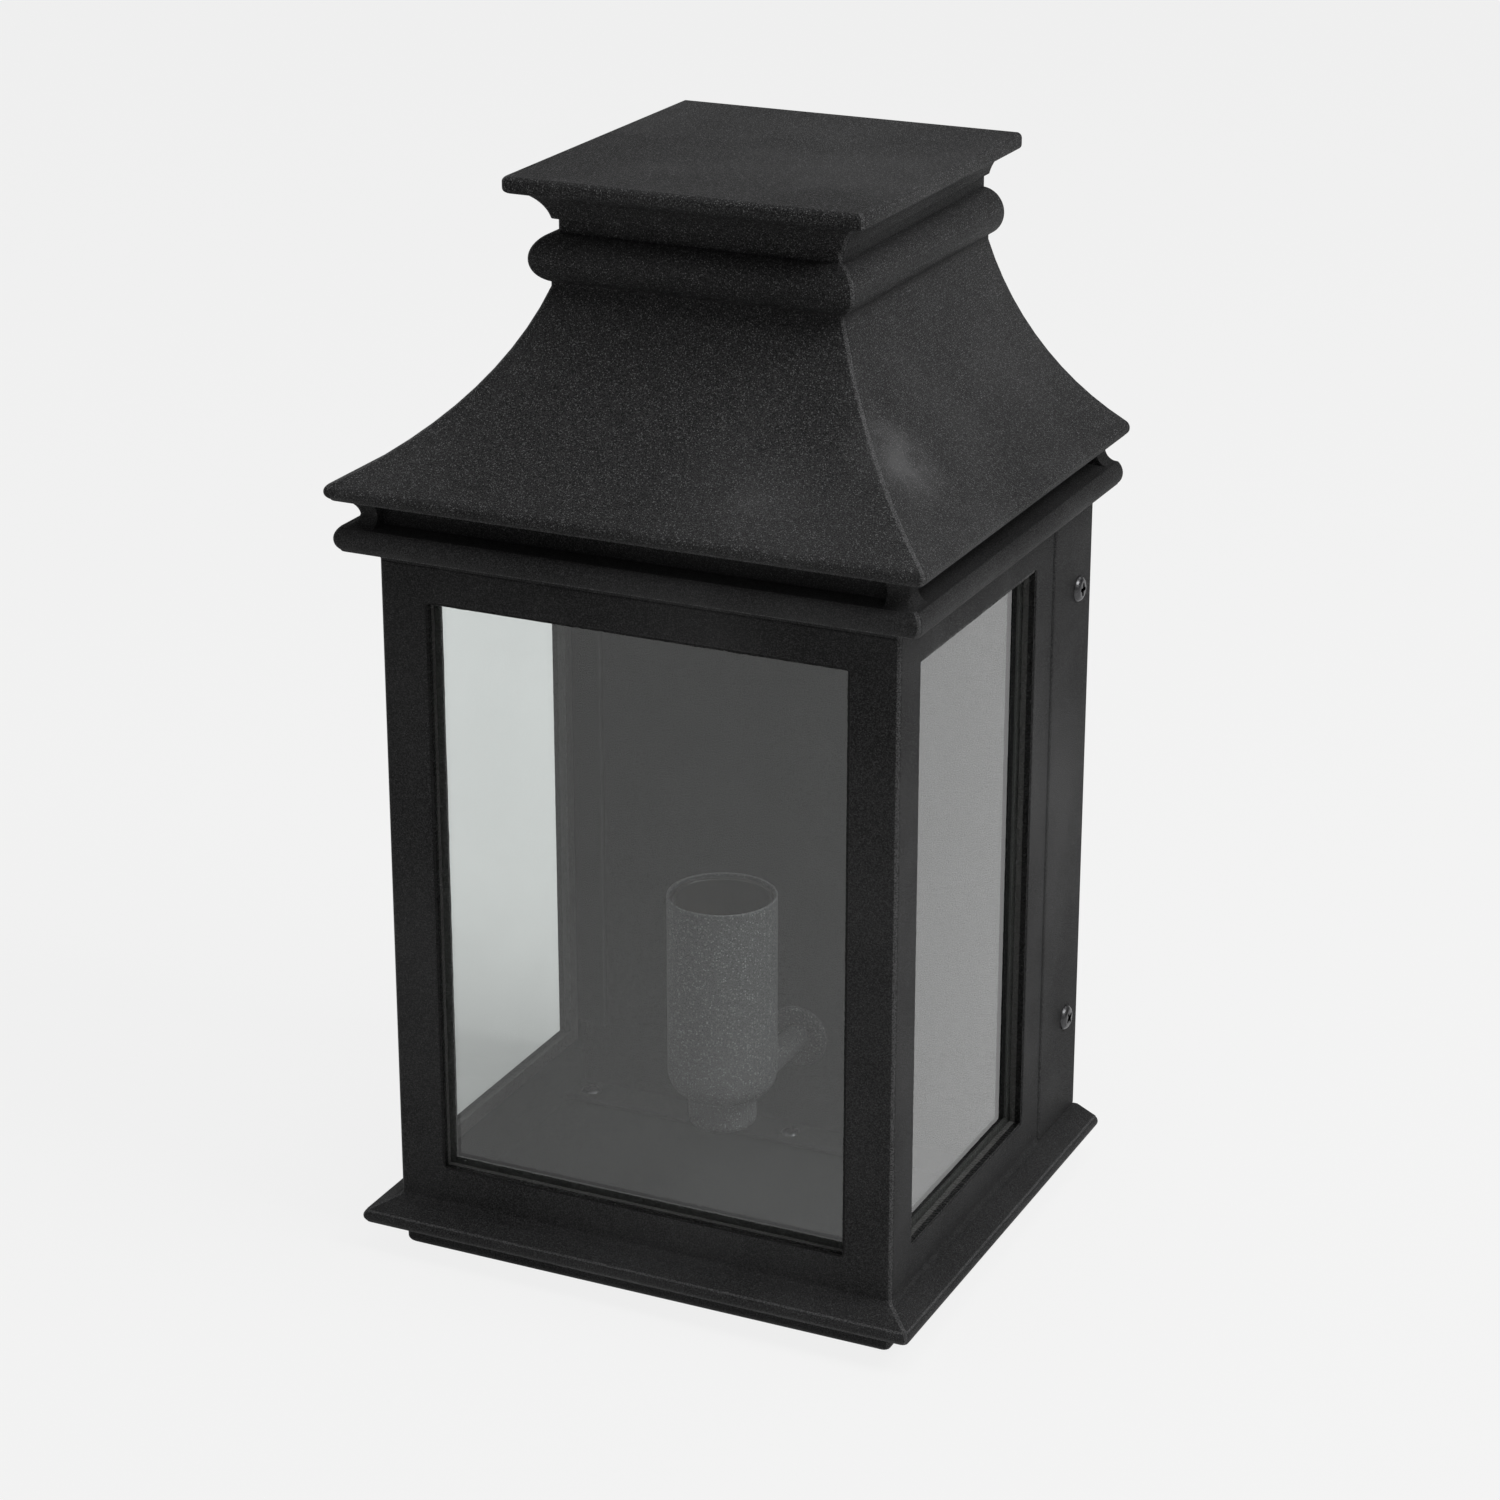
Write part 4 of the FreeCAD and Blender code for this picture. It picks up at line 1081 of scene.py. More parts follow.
class LANTERN_OT_body(bpy.types.Operator):
    """Make the body casting: plinth, flange, three window frames and cornice"""

    bl_idname = "lantern.body"
    bl_label = "Body casting"

    def execute(self, context):
        sizes = context.scene.lantern_sizes
        bm = fresh()
        join(bm, self.base(sizes))
        join(bm, self.frames(sizes))
        join(bm, self.cornice(sizes))
        foot = [
            (POST_FOOT, CORNICE_TOP),
            (NECK_OUT, BODY_TOP, POST_FOOT_HOLLOW),
            (GAP_WALL, BODY_TOP),
        ]
        set_posts(bm, sizes, (GAP_WALL, GAP_FLOOR), foot)
        self.add_plates(bm, sizes)
        dress("body", bm, cast_coat(context.scene.lantern_finish), "black_coat", "body_casting")
        return {"FINISHED"}

    def base(self, sizes):
        """The plinth and the flange over it."""
        steps = [
            (-PLINTH_IN, PLINTH_ROUND, -cove(PLINTH_ROUND)),
            (-PLINTH_IN, PLINTH_TOP),
            (NOSE_OUT - NOSE_EDGE, NOSE_UNDER),
            (NOSE_OUT, NOSE_UNDER + NOSE_EDGE, -cove(NOSE_EDGE)),
            (NOSE_OUT, NOSE_TOP, -NOSE_BULGE),
            (NOSE_OUT - NOSE_TURN, NOSE_TOP + NOSE_TURN, -NOSE_TURN_BULGE),
            (FRAME_COVE, FLANGE_TOP),
            (-sizes.wall, FLANGE_TOP),
        ]
        stations = round_front(sizes) + side_station(sizes, 1)
        return moulding(sizes, (-sizes.wall, 0), steps, stations, side_station(sizes, -1))

    def cornice(self, sizes):
        """The cornice, the wall of the shadow gap and the rim of the ceiling."""
        steps = [
            (CORNICE_COVE, CORNICE_START + CORNICE_COVE, cove(CORNICE_COVE)),
            (CORNICE_OUT - CORNICE_EDGE, CORNICE_UNDER),
            (CORNICE_OUT, CORNICE_UNDER + CORNICE_EDGE, -cove(CORNICE_EDGE)),
            (CORNICE_CROWN, CORNICE_TOP, -CORNICE_BULGE),
            (GAP_WALL, GAP_FLOOR),
            (GAP_WALL, BODY_TOP),
            (-HATCH_MARGIN, BODY_TOP),
            (-HATCH_MARGIN, CEILING),
            (-sizes.wall, CEILING),
            (-sizes.wall, CORNICE_START),
        ]
        stations = round_front(sizes) + side_station(sizes, 1)
        return moulding(sizes, (0, CORNICE_START), steps, stations, side_station(sizes, -1))

    def frames(self, sizes):
        """The three walls between flange and cornice, with their windows cut."""
        sill = sizes.sill_height
        head = sill + sizes.window_height
        seam = -sizes.pan_depth
        rear = seam - sizes.rear_stile
        front = sizes.side_front_stile - sizes.body_depth
        flank = sizes.body_width / 2
        jamb = flank - sizes.front_stile
        steps = [
            (0, FLANGE_TOP + FRAME_COVE, cove(FRAME_COVE)),
            (0, sill),
            (0, head),
            (0, CORNICE_START),
            (-sizes.wall, CORNICE_START),
            (-sizes.wall, head),
            (-sizes.wall, sill),
            (-sizes.wall, FLANGE_TOP),
        ]
        left = side_station(sizes, -1, rear) + side_station(sizes, -1, front) + corner_stations(sizes, -1)
        middle = front_station(sizes, -jamb) + front_station(sizes, jamb)
        corner = turned_back(corner_stations(sizes, 1))
        right = corner + side_station(sizes, 1, front) + side_station(sizes, 1, rear)
        stations = left + middle + right + side_station(sizes, 1, seam)
        bm = moulding(sizes, (FRAME_COVE, FLANGE_TOP), steps, stations, side_station(sizes, -1, seam))
        level = (sill + head) / 2
        self.open_window(bm, sizes, Vector((0, -sizes.body_depth, level)), Y_AXIS)
        for side in (-1, 1):
            centre = Vector((side * flank, (front + rear) / 2, level))
            self.open_window(bm, sizes, centre, -side * X_AXIS)
        return bm

    def open_window(self, bm, sizes, centre, inwards):
        """Cuts one window: takes out both skins, joins their rims, rounds the corners and the outer rim."""
        spots = (centre, centre + inwards * sizes.wall)
        skins = [min(bm.faces, key=lambda face: (face.calc_center_median() - spot).length) for spot in spots]
        rims = [edge for face in skins for edge in face.edges]
        bmesh.ops.delete(bm, geom=skins, context="FACES_ONLY")
        made = bmesh.ops.bridge_loops(bm, edges=rims)
        through = [edge for edge in made["edges"] if abs(self.way(edge).dot(inwards)) > ALONG]
        soften(bm, through, WINDOW_CORNER, WINDOW_CORNER_SEGMENTS, rub=0.0)
        half_wall = sizes.wall / 2
        outer = []
        for face in bm.faces:
            depth = (face.calc_center_median() - centre).dot(inwards)
            if abs(depth - half_wall) < half_wall / 2 and abs(face.normal.dot(inwards)) < ACROSS:
                outer += [edge for edge in face.edges if self.is_level(edge, centre, inwards)]
        soften(bm, list(dict.fromkeys(outer)), sizes.arris, rub=0.0)

    def way(self, edge):
        """The direction of an edge."""
        return (edge.verts[1].co - edge.verts[0].co).normalized()

    def is_level(self, edge, centre, inwards):
        """Whether an edge lies on the outer face of the wall."""
        return all(abs((vert.co - centre).dot(inwards)) < FLUSH for vert in edge.verts)

    def add_plates(self, bm, sizes):
        """Adds the floor, the ceiling's rear strip and the returns beside the pan."""
        half = sizes.body_width / 2
        inner = half - sizes.wall
        seam = -sizes.pan_depth
        join(bm, block((-inner, -sizes.body_depth + sizes.wall, 0), (inner, 0, FLOOR_TOP)))
        hatch = half - HATCH_MARGIN
        join(bm, block((-hatch, -HATCH_MARGIN, CEILING), (hatch, 0, BODY_TOP)))
        for side in (-1, 1):
            ends = sorted((side * (half - RETURN_ARRIS), side * (inner - RETURN_WIDTH)))
            low = (ends[0], seam - sizes.wall, sizes.sill_height)
            join(bm, block(low, (ends[1], seam, CEILING), RETURN_ARRIS))


class LANTERN_OT_pan(bpy.types.Operator):
    """Make the folded pan behind the body: back panel, side strips and the flange on the floor"""

    bl_idname = "lantern.pan"
    bl_label = "Back pan"

    def execute(self, context):
        sizes = context.scene.lantern_sizes
        half = sizes.body_width / 2 - PAN_INSET
        seam = -sizes.pan_depth
        low = FLANGE_TOP + PAN_GAP
        high = CORNICE_START + PAN_LAP
        bm = fresh()
        outline = [(-half, 0), (-half, seam), (half, seam), (half, 0)]
        plane = Plane(Vector((0, 0, low)), X_AXIS, Y_AXIS)
        join(bm, self.folded(plane, outline, Z_AXIS * (high - low), PAN_BEND))
        tongue = sizes.body_width / 2 - sizes.wall - TONGUE_GAP
        toe = seam - FLANGE_DEPTH
        top = FLOOR_TOP + SHEET
        foot = [(toe, top), (seam, top), (seam, low)]
        plane = Plane(Vector((-tongue, 0, 0)), Y_AXIS, Z_AXIS)
        join(bm, self.folded(plane, foot, X_AXIS * 2 * tongue, FLANGE_BEND))
        tongue_end = (tongue, seam + SHEET, CEILING - PAN_GAP)
        join(bm, block((-tongue, seam, high), tongue_end, TONGUE_ARRIS))
        dress("pan", bm, cast_coat(context.scene.lantern_finish), "black_coat", "back_pan")
        return {"FINISHED"}

    def folded(self, plane, points, run, bend):
        """A sheet folded along an open outline, its thickness on the inside of its first corner."""
        bm = fresh()
        chain = draw(bm, plane, bm.verts.new(plane.spot(*points[0])), points[1:])
        bmesh.ops.bevel(
            bm,
            geom=chain[1:-1],
            offset=bend,
            offset_type="OFFSET",
            segments=BEND_SEGMENTS,
            profile=0.5,
            affect="VERTICES",
            material=-1,
        )
        added = bmesh.ops.extrude_edge_only(bm, edges=bm.edges[:])["geom"]
        bmesh.ops.translate(bm, verts=verts_in(added), vec=run)
        bmesh.ops.solidify(bm, geom=bm.faces[:], thickness=SHEET)
        shared = [edge for edge in bm.edges if len(edge.link_faces) == 2]
        soften(bm, [edge for edge in shared if edge.calc_face_angle() > SHARP_FOLD], SHEET_ARRIS)
        return bm


class LANTERN_OT_panes(bpy.types.Operator):
    """Make the three panes with ground edges"""

    bl_idname = "lantern.panes"
    bl_label = "Panes"

    def execute(self, context):
        glass = window_glass(context.scene.lantern_finish)
        for name in ("front_pane", "left_pane", "right_pane"):
            low, high = (corner - Vector((0, 0, PLINTH_BOTTOM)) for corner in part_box(name))
            dress(name + "_glass", block(low, high, PANE_ARRIS), glass, "clear_glass", name)
        return {"FINISHED"}


class LANTERN_OT_seals(bpy.types.Operator):
    """Make the beds of black sealant that the panes lie in, with an uneven inner edge"""

    bl_idname = "lantern.seals"
    bl_label = "Sealant"

    def execute(self, context):
        sizes = context.scene.lantern_sizes
        sealant = bubbly_sealant(context.scene.lantern_finish)
        for name in ("front_seal", "left_seal", "right_seal"):
            low, high = (corner - Vector((0, 0, PLINTH_BOTTOM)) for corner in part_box(name))
            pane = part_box(name.replace("seal", "pane"))
            glass = min(pane[1].x - pane[0].x, pane[1].y - pane[0].y)
            dress(name + "_bead", self.bead(sizes, low, high, glass), sealant, "sealant", name, smooth=50)
        return {"FINISHED"}

    def bead(self, sizes, low, high, glass):
        """The bed behind the wall, the thin lining in the reveal, paler grey at its rear, and the paler grey
        smear.
        """
        size = high - low
        middle = (low + high) / 2
        thick = min(size.x, size.y)
        wide = max(size.x, size.y)
        stand = Matrix.Rotation(QUARTER, 4, "X")
        outwards = 1
        if size.x < size.y:
            stand = Matrix.Rotation(QUARTER, 4, "Z") @ stand
            outwards = math.copysign(1, middle.x)
        trim = 2 * PANE_OVERLAP - LINING_LAP
        bed = (wide, size.z)
        lining = (wide - trim, size.z - trim)
        depth = sizes.wall - LINING_STOP
        pale_deep = PALE_SHARE * depth
        behind = -(thick / 2 + glass + SMEAR_THICK / 2 + SMEAR_GAP)
        strips = (
            (bed, PANE_OVERLAP + BED_SHOW, thick, BED_WAVE, 0, 1.0),
            (lining, PALE_BAND, pale_deep, LINING_WAVE, (thick + pale_deep) / 2, 1.0),
            (lining, BLACK_BAND, depth - pale_deep, LINING_WAVE, (thick + depth + pale_deep) / 2, 0.0),
            (bed, PANE_OVERLAP + SMEAR_SHOW, SMEAR_THICK, BED_WAVE, behind, 1.0),
        )
        bm = fresh()
        for outline, band, deep, wave, rise, paleness in strips:
            join(bm, self.strip(outline, band, deep, wave, outwards * rise, paleness))
        bmesh.ops.transform(bm, matrix=Matrix.Translation(middle) @ stand, verts=bm.verts)
        return bm

    def strip(self, outline, band, thick, wave, rise, paleness):
        """A flat frame round the origin with a wavy inner edge, its faces marked by how pale they are."""
        wide, tall = outline
        bm = fresh()
        bmesh.ops.create_grid(bm, x_segments=1, y_segments=1, size=0.5)
        bmesh.ops.scale(bm, vec=(wide, tall, 1), verts=bm.verts)
        opening = bm.faces[:]
        bmesh.ops.inset_individual(bm, faces=opening, thickness=band, use_even_offset=True)
        inner = {vert for face in opening for vert in face.verts}
        bmesh.ops.delete(bm, geom=opening, context="FACES_ONLY")
        runs = [edge for edge in bm.edges if len(inner & set(edge.verts)) != 1]
        bmesh.ops.subdivide_edges(bm, edges=runs, cuts=EDGE_CUTS, use_grid_fill=True)
        across = [edge for edge in bm.edges if not edge.is_boundary]
        bmesh.ops.subdivide_edges(bm, edges=across, cuts=BAND_CUTS, use_grid_fill=True)
        reach_x = wide / 2 - band
        reach_y = tall / 2 - band
        for vert in bm.verts:
            share = 1 - max(abs(vert.co.x) - reach_x, abs(vert.co.y) - reach_y, 0) / band
            short = SHORT_WAVE_SHARE * noise.noise(vert.co * SHORT_WAVES)
            step = share * wave * (noise.noise(vert.co * LONG_WAVES) + short)
            if abs(vert.co.x) / reach_x > abs(vert.co.y) / reach_y:
                vert.co.x -= math.copysign(step, vert.co.x)
            else:
                vert.co.y -= math.copysign(step, vert.co.y)
        bmesh.ops.solidify(bm, geom=bm.faces[:], thickness=thick)
        bmesh.ops.recalc_face_normals(bm, faces=bm.faces)
        middle = sum((vert.co.z for vert in bm.verts), 0.0) / len(bm.verts)
        bmesh.ops.translate(bm, verts=bm.verts, vec=(0, 0, rise - middle))
        mark = bm.faces.layers.float["arris"]
        for face in bm.faces:
            face[mark] = paleness
        return bm


def pan_screw(thread, shank):
    """A pan-head screw with a cross recess, its head standing up from the origin."""
    radius = thread
    height = HEAD_HEIGHT * thread
    lip = HEAD_LIP * thread
    bm = turned(Vector(), Z_AXIS, (0, -shank), [
        (TIP_RADIUS * thread, -shank),
        (SHANK_RADIUS * thread, TIP_HEIGHT * thread - shank),
        (SHANK_RADIUS * thread, 0),
        (radius - lip, 0),
        (radius, lip, -cove(lip)),
        (radius, HEAD_SIDE * thread),
        (HEAD_FLAT * thread, height, -HEAD_CROWN * thread),
    ], SCREW_SIDES, closed=False)
    rim = [edge for edge in bm.edges if edge.is_boundary]
    grid = bmesh.ops.create_grid(bm, x_segments=3, y_segments=3, size=1.0)["verts"]
    span = RECESS_SPAN * thread
    width = RECESS_WIDTH * thread
    for vert in grid:
        for index in (0, 1):
            reach = span if abs(vert.co[index]) > 0.5 else width
            vert.co[index] = math.copysign(reach, vert.co[index])
        vert.co.z = height
    faces = list({face for vert in grid for face in vert.link_faces})
    corners = [face for face in faces if min(abs(c) for c in face.calc_center_median()[:2]) > width]
    cross = [face for face in faces if face not in corners]
    bmesh.ops.delete(bm, geom=corners, context="FACES")
    loop = [edge for face in cross for edge in face.edges if edge.is_boundary]
    floor = verts_in(bmesh.ops.extrude_face_region(bm, geom=cross)["geom"])
    bmesh.ops.scale(bm, vec=(RECESS_TAPER, RECESS_TAPER, 1), verts=floor)
    bmesh.ops.translate(bm, verts=floor, vec=(0, 0, -RECESS_DEPTH * thread))
    bmesh.ops.delete(bm, geom=[face for face in cross if face.is_valid], context="FACES_ONLY")
    bmesh.ops.bridge_loops(bm, edges=rim + loop)
    bmesh.ops.recalc_face_normals(bm, faces=bm.faces)
    return bm


class LANTERN_OT_screws(bpy.types.Operator):
    """Make the screws in the pan's sides, on the floor flange and under the roof"""

    bl_idname = "lantern.screws"
    bl_label = "Screws"

    def execute(self, context):
        sizes = context.scene.lantern_sizes
        black = black_screw(context.scene.lantern_finish)
        zinc = zinc_plate(context.scene.lantern_finish)
        half = sizes.body_width / 2
        seats = [
            (Vector((sign * (half - PAN_INSET), -SIDE_SCREW_DEPTH, height)), sign * X_AXIS)
            for sign in (-1, 1)
            for height in SIDE_SCREW_HEIGHTS
        ]
        self.set_screws("strip_screws", seats, SIDE_SCREW, black, "black_coat", "side_screws")
        far = half - sizes.wall - FLANGE_SCREW_IN
        y = -sizes.pan_depth - FLANGE_SCREW_DEPTH
        seats = [(Vector((x, y, FLOOR_TOP + SHEET)), Z_AXIS) for x in (-far, 0, far)]
        self.set_screws("flange_screws", seats, FLANGE_SCREW, black, "black_coat", "pan_screws")
        x = half - ROOF_SCREW_IN
        rows = (ROOF_SCREW_IN - sizes.body_depth, -ROOF_SCREW_IN)
        seats = [(Vector((sign * x, y, CEILING)), -Z_AXIS) for sign in (-1, 1) for y in rows]
        self.set_screws("top_screws", seats, ROOF_SCREW, zinc, "zinc_plate", "roof_screws")
        return {"FINISHED"}

    def set_screws(self, name, seats, size, material, slot, cad_node):
        """Sets like screws in their seats, each turned as it was driven."""
        bm = fresh()
        for index, (seat, axis) in enumerate(seats):
            screw = pan_screw(*size)
            turn = Matrix.Rotation(NEXT_TURN * index + FIRST_TURN, 4, "Z")
            lie = Z_AXIS.rotation_difference(axis).to_matrix().to_4x4()
            bmesh.ops.transform(screw, matrix=Matrix.Translation(seat) @ lie @ turn, verts=screw.verts)
            join(bm, screw)
        dress(name, bm, material, slot, cad_node)


class LANTERN_OT_lampholder(bpy.types.Operator):
    """Make the lampholder: coated cup, moulded ring and insert, brass shell and contact"""

    bl_idname = "lantern.lampholder"
    bl_label = "Lampholder"

    def execute(self, context):
        sizes = context.scene.lantern_sizes
        finish = context.scene.lantern_finish
        axis = Vector((0, sizes.lamp_setback - sizes.body_depth, 0))
        sides = sizes.turned_sides
        radius = sizes.cup_radius
        base = sizes.cup_base
        top = base + sizes.cup_height
        inside = radius - CUP_WALL
        seat = base + CUP_WALL
        cup = turned(axis, Z_AXIS, (NIPPLE_HOLE, base), [
            (radius - CUP_ROUND, base),
            (radius, base + CUP_ROUND, -cove(CUP_ROUND)),
            (radius, top - CUP_LIP),
            (radius - CUP_LIP, top, -cove(CUP_LIP)),
            (inside + CUP_LIP, top),
            (inside, top - CUP_LIP, -cove(CUP_LIP)),
            (inside, base + CUP_ROUND),
            (radius - CUP_ROUND, seat, cove(CUP_ROUND - CUP_WALL)),
            (NIPPLE_HOLE, seat),
        ], sides)
        dress("cup", cup, holder_coat(finish), "black_coat", "lampholder_cup")
        rim = top - RING_DROP
        ring_base = rim - RING_HEIGHT
        fit = inside - FIT_GAP
        ring = turned(axis, Z_AXIS, (RING_MOUTH, ring_base), [
            (fit, ring_base),
            (fit, rim - CUP_LIP),
            (fit - CUP_LIP, rim, -cove(CUP_LIP)),
            (RING_MOUTH + RING_LIP, rim),
            (RING_MOUTH, rim - RING_LIP, -cove(RING_LIP)),
        ], sides)
        dress("holder_ring", ring, black_moulding(finish), "black_moulding", "lampholder_ring")
        socket_floor = seat + SOCKET_FLOOR
        bore = SHELL_RADIUS + FIT_GAP
        insert = turned(axis, Z_AXIS, (NIPPLE_HOLE, seat), [
            (radius - CUP_ROUND - FIT_GAP, seat),
            (fit, base + CUP_ROUND),
            (fit, ring_base),
            (bore, ring_base),
            (bore, socket_floor),
            (CONTACT_HOLE, socket_floor),
            (CONTACT_HOLE, NIPPLE_SEAT),
            (NIPPLE_HOLE, NIPPLE_SEAT),
        ], sides)
        dress("holder_insert", insert, black_moulding(finish), "black_moulding", "lampholder_insert")
        low = socket_floor + SHELL_RISE
        skin = SHELL_RADIUS - SHELL_SHEET
        pitch = (ring_base - low) / THREAD_RINGS
        waves = []
        for index in range(THREAD_RINGS):
            waves.append((skin, low + (index + 0.5) * pitch, THREAD_WAVE))
            waves.append((skin, low + (index + 1) * pitch, -THREAD_WAVE))
        thread = turned(axis, Z_AXIS, (skin, low), waves + [
            (skin, ring_base + SHELL_SHEET),
            (SHELL_RADIUS + SHELL_RIM, ring_base + SHELL_SHEET),
            (SHELL_RADIUS + SHELL_RIM, ring_base),
            (SHELL_RADIUS, ring_base),
            (SHELL_RADIUS, low),
        ], sides, THREAD_ARC_STEP)
        dress("screw_thread", thread, bare_brass(finish), "brass", "screw_shell")
        keep_node("centre_contact", bare_brass(finish))
        keep_node("lamp_nipple", zinc_plate(finish))
        return {"FINISHED"}


class LANTERN_OT_arm(bpy.types.Operator):
    """Make the lamp's knuckle, arm and rosette, and the nut and washer behind the panel"""

    bl_idname = "lantern.arm"
    bl_label = "Lamp arm"

    def execute(self, context):
        sizes = context.scene.lantern_sizes
        finish = context.scene.lantern_finish
        coat = holder_coat(finish)
        sides = sizes.turned_sides
        lamp_y = sizes.lamp_setback - sizes.body_depth
        top = sizes.cup_base
        base = top - KNUCKLE_HEIGHT
        level = top - ARM_DROP
        knuckle = turned(Vector((0, lamp_y, 0)), Z_AXIS, (0, base), [
            (KNUCKLE_RADIUS - KNUCKLE_ROUND, base),
            (KNUCKLE_RADIUS, base + KNUCKLE_ROUND, -cove(KNUCKLE_ROUND)),
            (KNUCKLE_RADIUS, top - KNUCKLE_EDGE),
            (KNUCKLE_RADIUS - KNUCKLE_EDGE, top, -cove(KNUCKLE_EDGE)),
            (0, top),
        ], sides)
        dress("knuckle", knuckle, coat, "black_coat", "lamp_knuckle")
        start = Vector((0, lamp_y + KNUCKLE_RADIUS - ARM_SOCKET, level))
        run = -sizes.pan_depth + ARM_TAIL - start.y
        arm = turned(start, Y_AXIS, (ARM_BORE, 0), [
            (ARM_RADIUS, 0),
            (ARM_RADIUS, run),
            (ARM_BORE, run),
        ], sides)
        dress("arm", arm, coat, "black_coat", "lamp_arm")
        rosette = turned(Vector((0, -sizes.pan_depth, level)), -Y_AXIS, (ROSETTE_HOLE, 0), [
            (ROSETTE_RADIUS, 0),
            (ROSETTE_RADIUS, ROSETTE_THICK - ROSETTE_ROUND),
            (ROSETTE_RADIUS - ROSETTE_ROUND, ROSETTE_THICK, -cove(ROSETTE_ROUND)),
            (ROSETTE_HOLE + ROSETTE_BEVEL, ROSETTE_THICK),
            (ROSETTE_HOLE, ROSETTE_THICK - ROSETTE_BEVEL),
        ], sides)
        dress("rosette", rosette, coat, "black_coat", "arm_rosette")
        keep_node("arm_washer", zinc_plate(finish))
        keep_node("arm_nut", bare_brass(finish))
        return {"FINISHED"}


class LANTERN_OT_rest(bpy.types.Operator):
    """Finish the pieces that stay as they are in the CAD frame"""

    bl_idname = "lantern.rest"
    bl_label = "Kept pieces"

    def execute(self, context):
        finish = context.scene.lantern_finish
        zinc = zinc_plate(finish)
        for name in ("wall_bracket", "block_screws", "earth_washer", "earth_screw", "terminal_screws"):
            keep_node(name, zinc)
        keep_node("terminal_block", white_moulding(finish))
        keep_node("cable_grommet", black_rubber(finish))
        return {"FINISHED"}


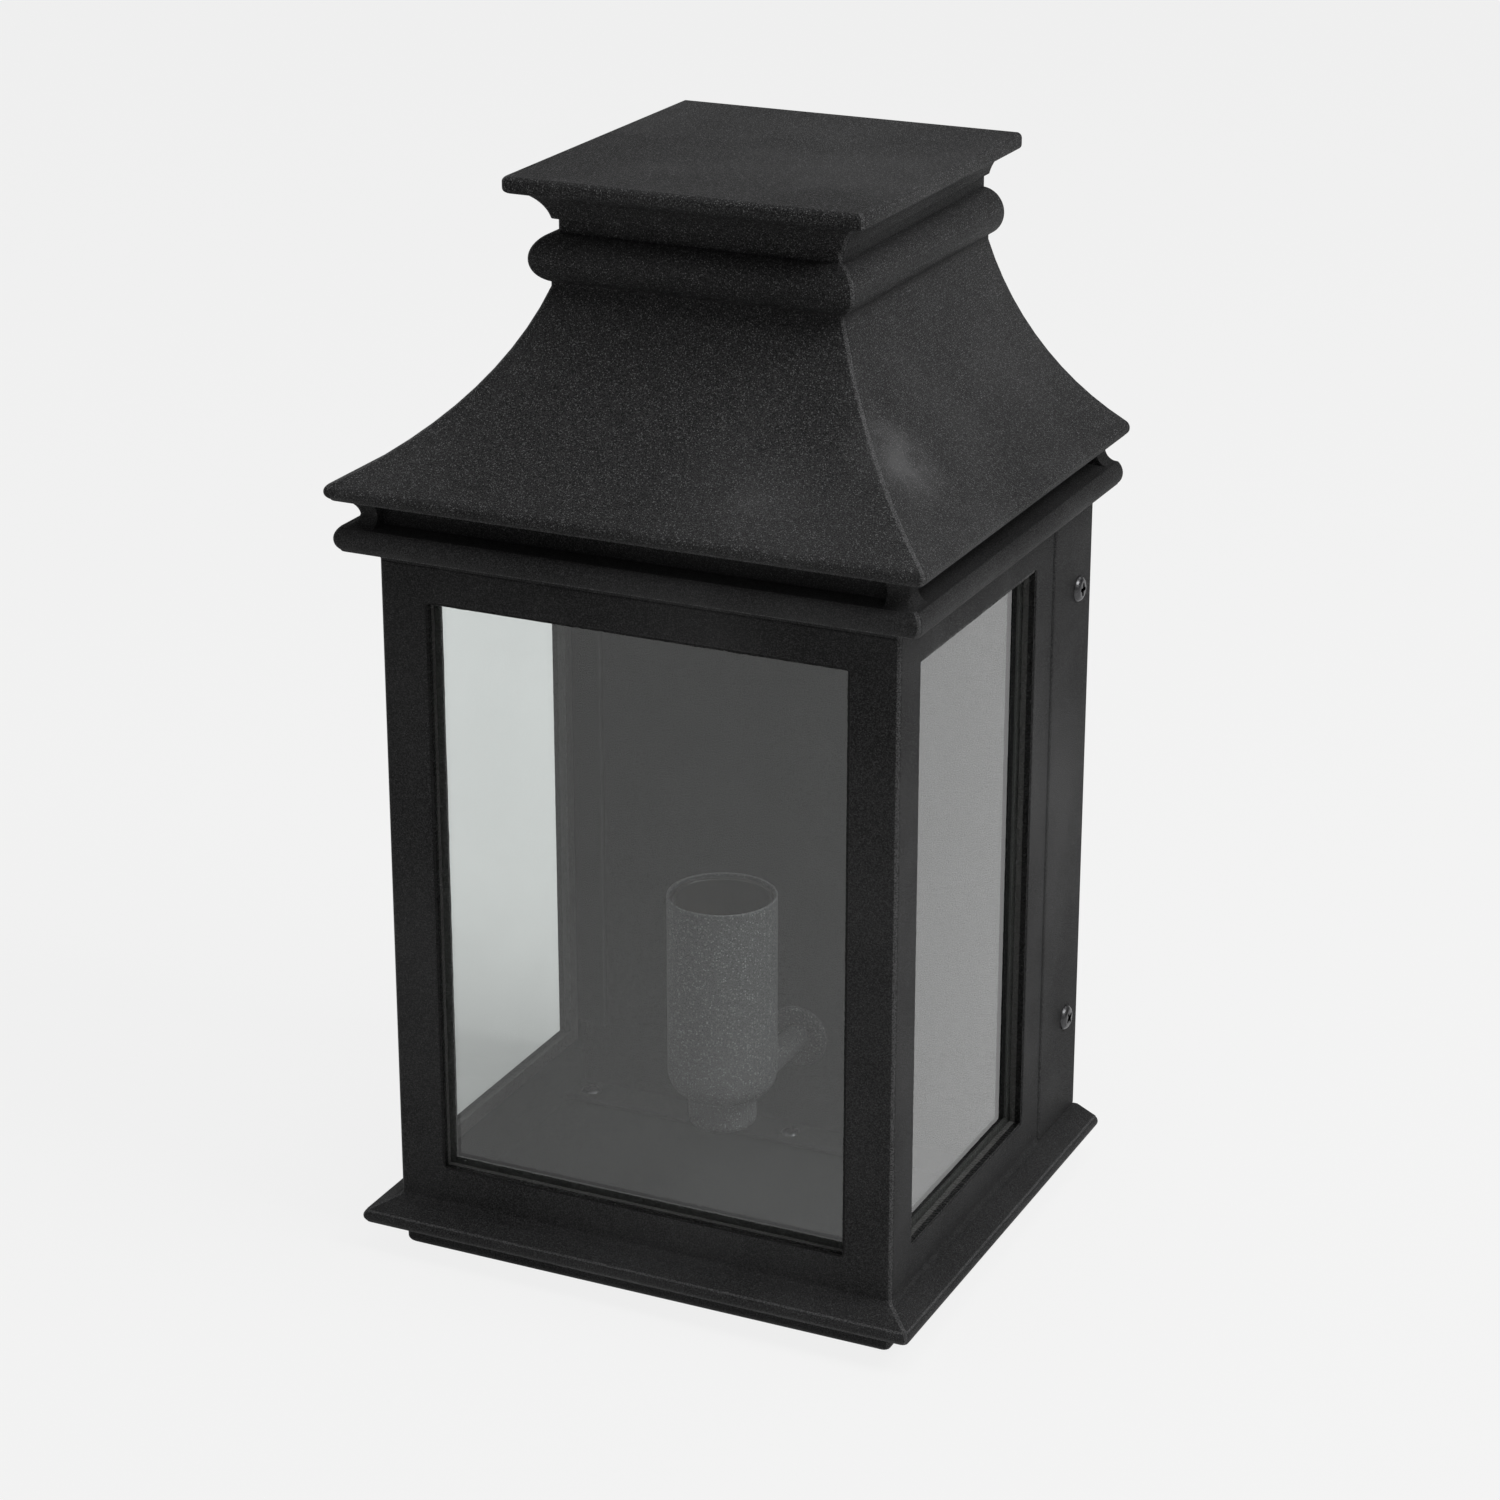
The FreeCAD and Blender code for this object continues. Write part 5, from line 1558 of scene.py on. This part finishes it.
class LANTERN_OT_stage(bpy.types.Operator):
    """Set the floor, the lamps, the light all round and the camera"""

    bl_idname = "lantern.stage"
    bl_label = "Studio"

    def execute(self, context):
        studio = context.scene.lantern_studio
        context.scene.view_settings.view_transform = "Standard"
        self.add_floor(studio)
        self.light_all_round(context, studio)
        for lamp in LAMPS:
            self.add_lamp(lamp, getattr(studio, lamp.setting))
        self.add_camera(context, studio)
        return {"FINISHED"}

    def add_floor(self, studio):
        """A pale floor with its plain backdrop tone for the camera; its glow through the glass and in
        reflections is painted light, stronger towards the rear and the right.
        """
        bm = bmesh.new()
        bmesh.ops.create_grid(bm, x_segments=1, y_segments=1, size=FLOOR_HALF)
        bmesh.ops.translate(bm, verts=bm.verts, vec=(0, 0, PLINTH_BOTTOM - FLOOR_DROP))
        mesh = bpy.data.meshes.new("floor")
        bm.to_mesh(mesh)
        bm.free()
        floor = bpy.data.objects.new("floor", mesh)
        bpy.context.scene.collection.objects.link(floor)
        made, tree, shader = new_material("pale_floor", {"Roughness": 0.9, "Base Color": FLOOR_TINT})
        path = node(tree, "ShaderNodeLightPath").outputs
        place = object_place(tree)
        seen = times(tree, path["Is Camera Ray"], FLOOR_SEEN)
        # Painted light: the glow seen through the glass grows towards the rear, and the glow seen in
        # reflections towards the right
        behind = ramp(tree, self.along(tree, place, BEHIND), -0.10, 0.20, 0.25, 0.66)
        through = times(tree, path["Is Transmission Ray"], behind)
        aside = ramp(tree, self.along(tree, place, ASIDE), -0.35, -0.05, 0.4, 1.0)
        bounced = math_node(tree, "SUBTRACT", path["Is Glossy Ray"], path["Is Transmission Ray"], clamp=True)
        indirect = math_node(tree, "MAXIMUM", through, times(tree, bounced, aside))
        tint = mix_colour(tree, path["Is Camera Ray"], (1, 1, 1), studio.backdrop)
        glow = node(tree, "ShaderNodeEmission", {"Color": tint, "Strength": 1.0})
        inputs = {0: math_node(tree, "MAXIMUM", seen, indirect), 1: shader.outputs[0], 2: glow.outputs[0]}
        show_surface(tree, node(tree, "ShaderNodeMixShader", inputs))
        mesh.materials.append(made)

    def along(self, tree, place, way):
        """How far a place lies along a direction."""
        inputs = {0: place, 1: way}
        return node(tree, "ShaderNodeVectorMath", inputs, operation="DOT_PRODUCT").outputs["Value"]

    def light_all_round(self, context, studio):
        """An even light that the camera and the glass see as the backdrop."""
        world = bpy.data.worlds.new("light_all_round")
        world.use_nodes = True
        context.scene.world = world
        tree = world.node_tree
        path = node(tree, "ShaderNodeLightPath").outputs
        seen = math_node(tree, "MAXIMUM", path["Is Camera Ray"], path["Is Transmission Ray"])
        tint = mix_colour(tree, seen, [studio.fill] * 3, studio.backdrop)
        background = tree.nodes["Background"]
        background.inputs["Strength"].default_value = 1.0
        tree.links.new(tint, background.inputs["Color"])

    def add_lamp(self, lamp, watts):
        """Sets one round lamp and aims it."""
        name = lamp.setting + "_lamp"
        light = bpy.data.lights.new(name, "AREA")
        light.shape = "DISK"
        light.size = lamp.width
        light.energy = watts
        holder = bpy.data.objects.new(name, light)
        holder.location = lamp.place
        way = Vector(lamp.aim) - Vector(lamp.place)
        holder.rotation_euler = way.to_track_quat("-Z", "Y").to_euler()
        bpy.context.scene.collection.objects.link(holder)

    def add_camera(self, context, studio):
        """A plain camera, looking from the front right and above."""
        data = bpy.data.cameras.new("camera")
        data.sensor_width = SENSOR_WIDTH
        data.lens = studio.lens
        data.clip_end = CLIP_END
        camera = bpy.data.objects.new("camera", data)
        camera.location = CAMERA_PLACE
        camera.rotation_euler = (QUARTER + CAMERA_PITCH, 0, -CAMERA_YAW)
        context.scene.collection.objects.link(camera)
        context.scene.camera = camera


class LANTERN_PT_sidebar(bpy.types.Panel):
    """Lists the lantern's pieces, sizes and finishes in the sidebar"""

    bl_idname = "LANTERN_PT_sidebar"
    bl_label = "Cast wall lantern"
    bl_space_type = "VIEW_3D"
    bl_region_type = "UI"
    bl_category = "Lantern"

    def draw(self, context):
        scene = context.scene
        for operator in OPERATORS:
            self.layout.operator(operator.bl_idname)
        for settings in (scene.lantern_sizes, scene.lantern_finish, scene.lantern_studio):
            box = self.layout.box()
            for name in settings.__annotations__:
                box.prop(settings, name)


OPERATORS = (
    LANTERN_OT_roof,
    LANTERN_OT_body,
    LANTERN_OT_pan,
    LANTERN_OT_panes,
    LANTERN_OT_seals,
    LANTERN_OT_screws,
    LANTERN_OT_lampholder,
    LANTERN_OT_arm,
    LANTERN_OT_rest,
    LANTERN_OT_stage,
)
SETTINGS = (LanternSizes, LanternFinish, LanternStudio)
CLASSES = SETTINGS + OPERATORS + (LANTERN_PT_sidebar,)


def register():
    for item in CLASSES:
        bpy.utils.register_class(item)
    bpy.types.Scene.lantern_sizes = PointerProperty(type=LanternSizes)
    bpy.types.Scene.lantern_finish = PointerProperty(type=LanternFinish)
    bpy.types.Scene.lantern_studio = PointerProperty(type=LanternStudio)


def unregister():
    del bpy.types.Scene.lantern_studio
    del bpy.types.Scene.lantern_finish
    del bpy.types.Scene.lantern_sizes
    for item in reversed(CLASSES):
        bpy.utils.unregister_class(item)


def main():
    register()
    bpy.ops.lantern.roof()
    bpy.ops.lantern.body()
    bpy.ops.lantern.pan()
    bpy.ops.lantern.panes()
    bpy.ops.lantern.seals()
    bpy.ops.lantern.screws()
    bpy.ops.lantern.lampholder()
    bpy.ops.lantern.arm()
    bpy.ops.lantern.rest()
    bpy.ops.lantern.stage()


if __name__ == "__main__":
    main()
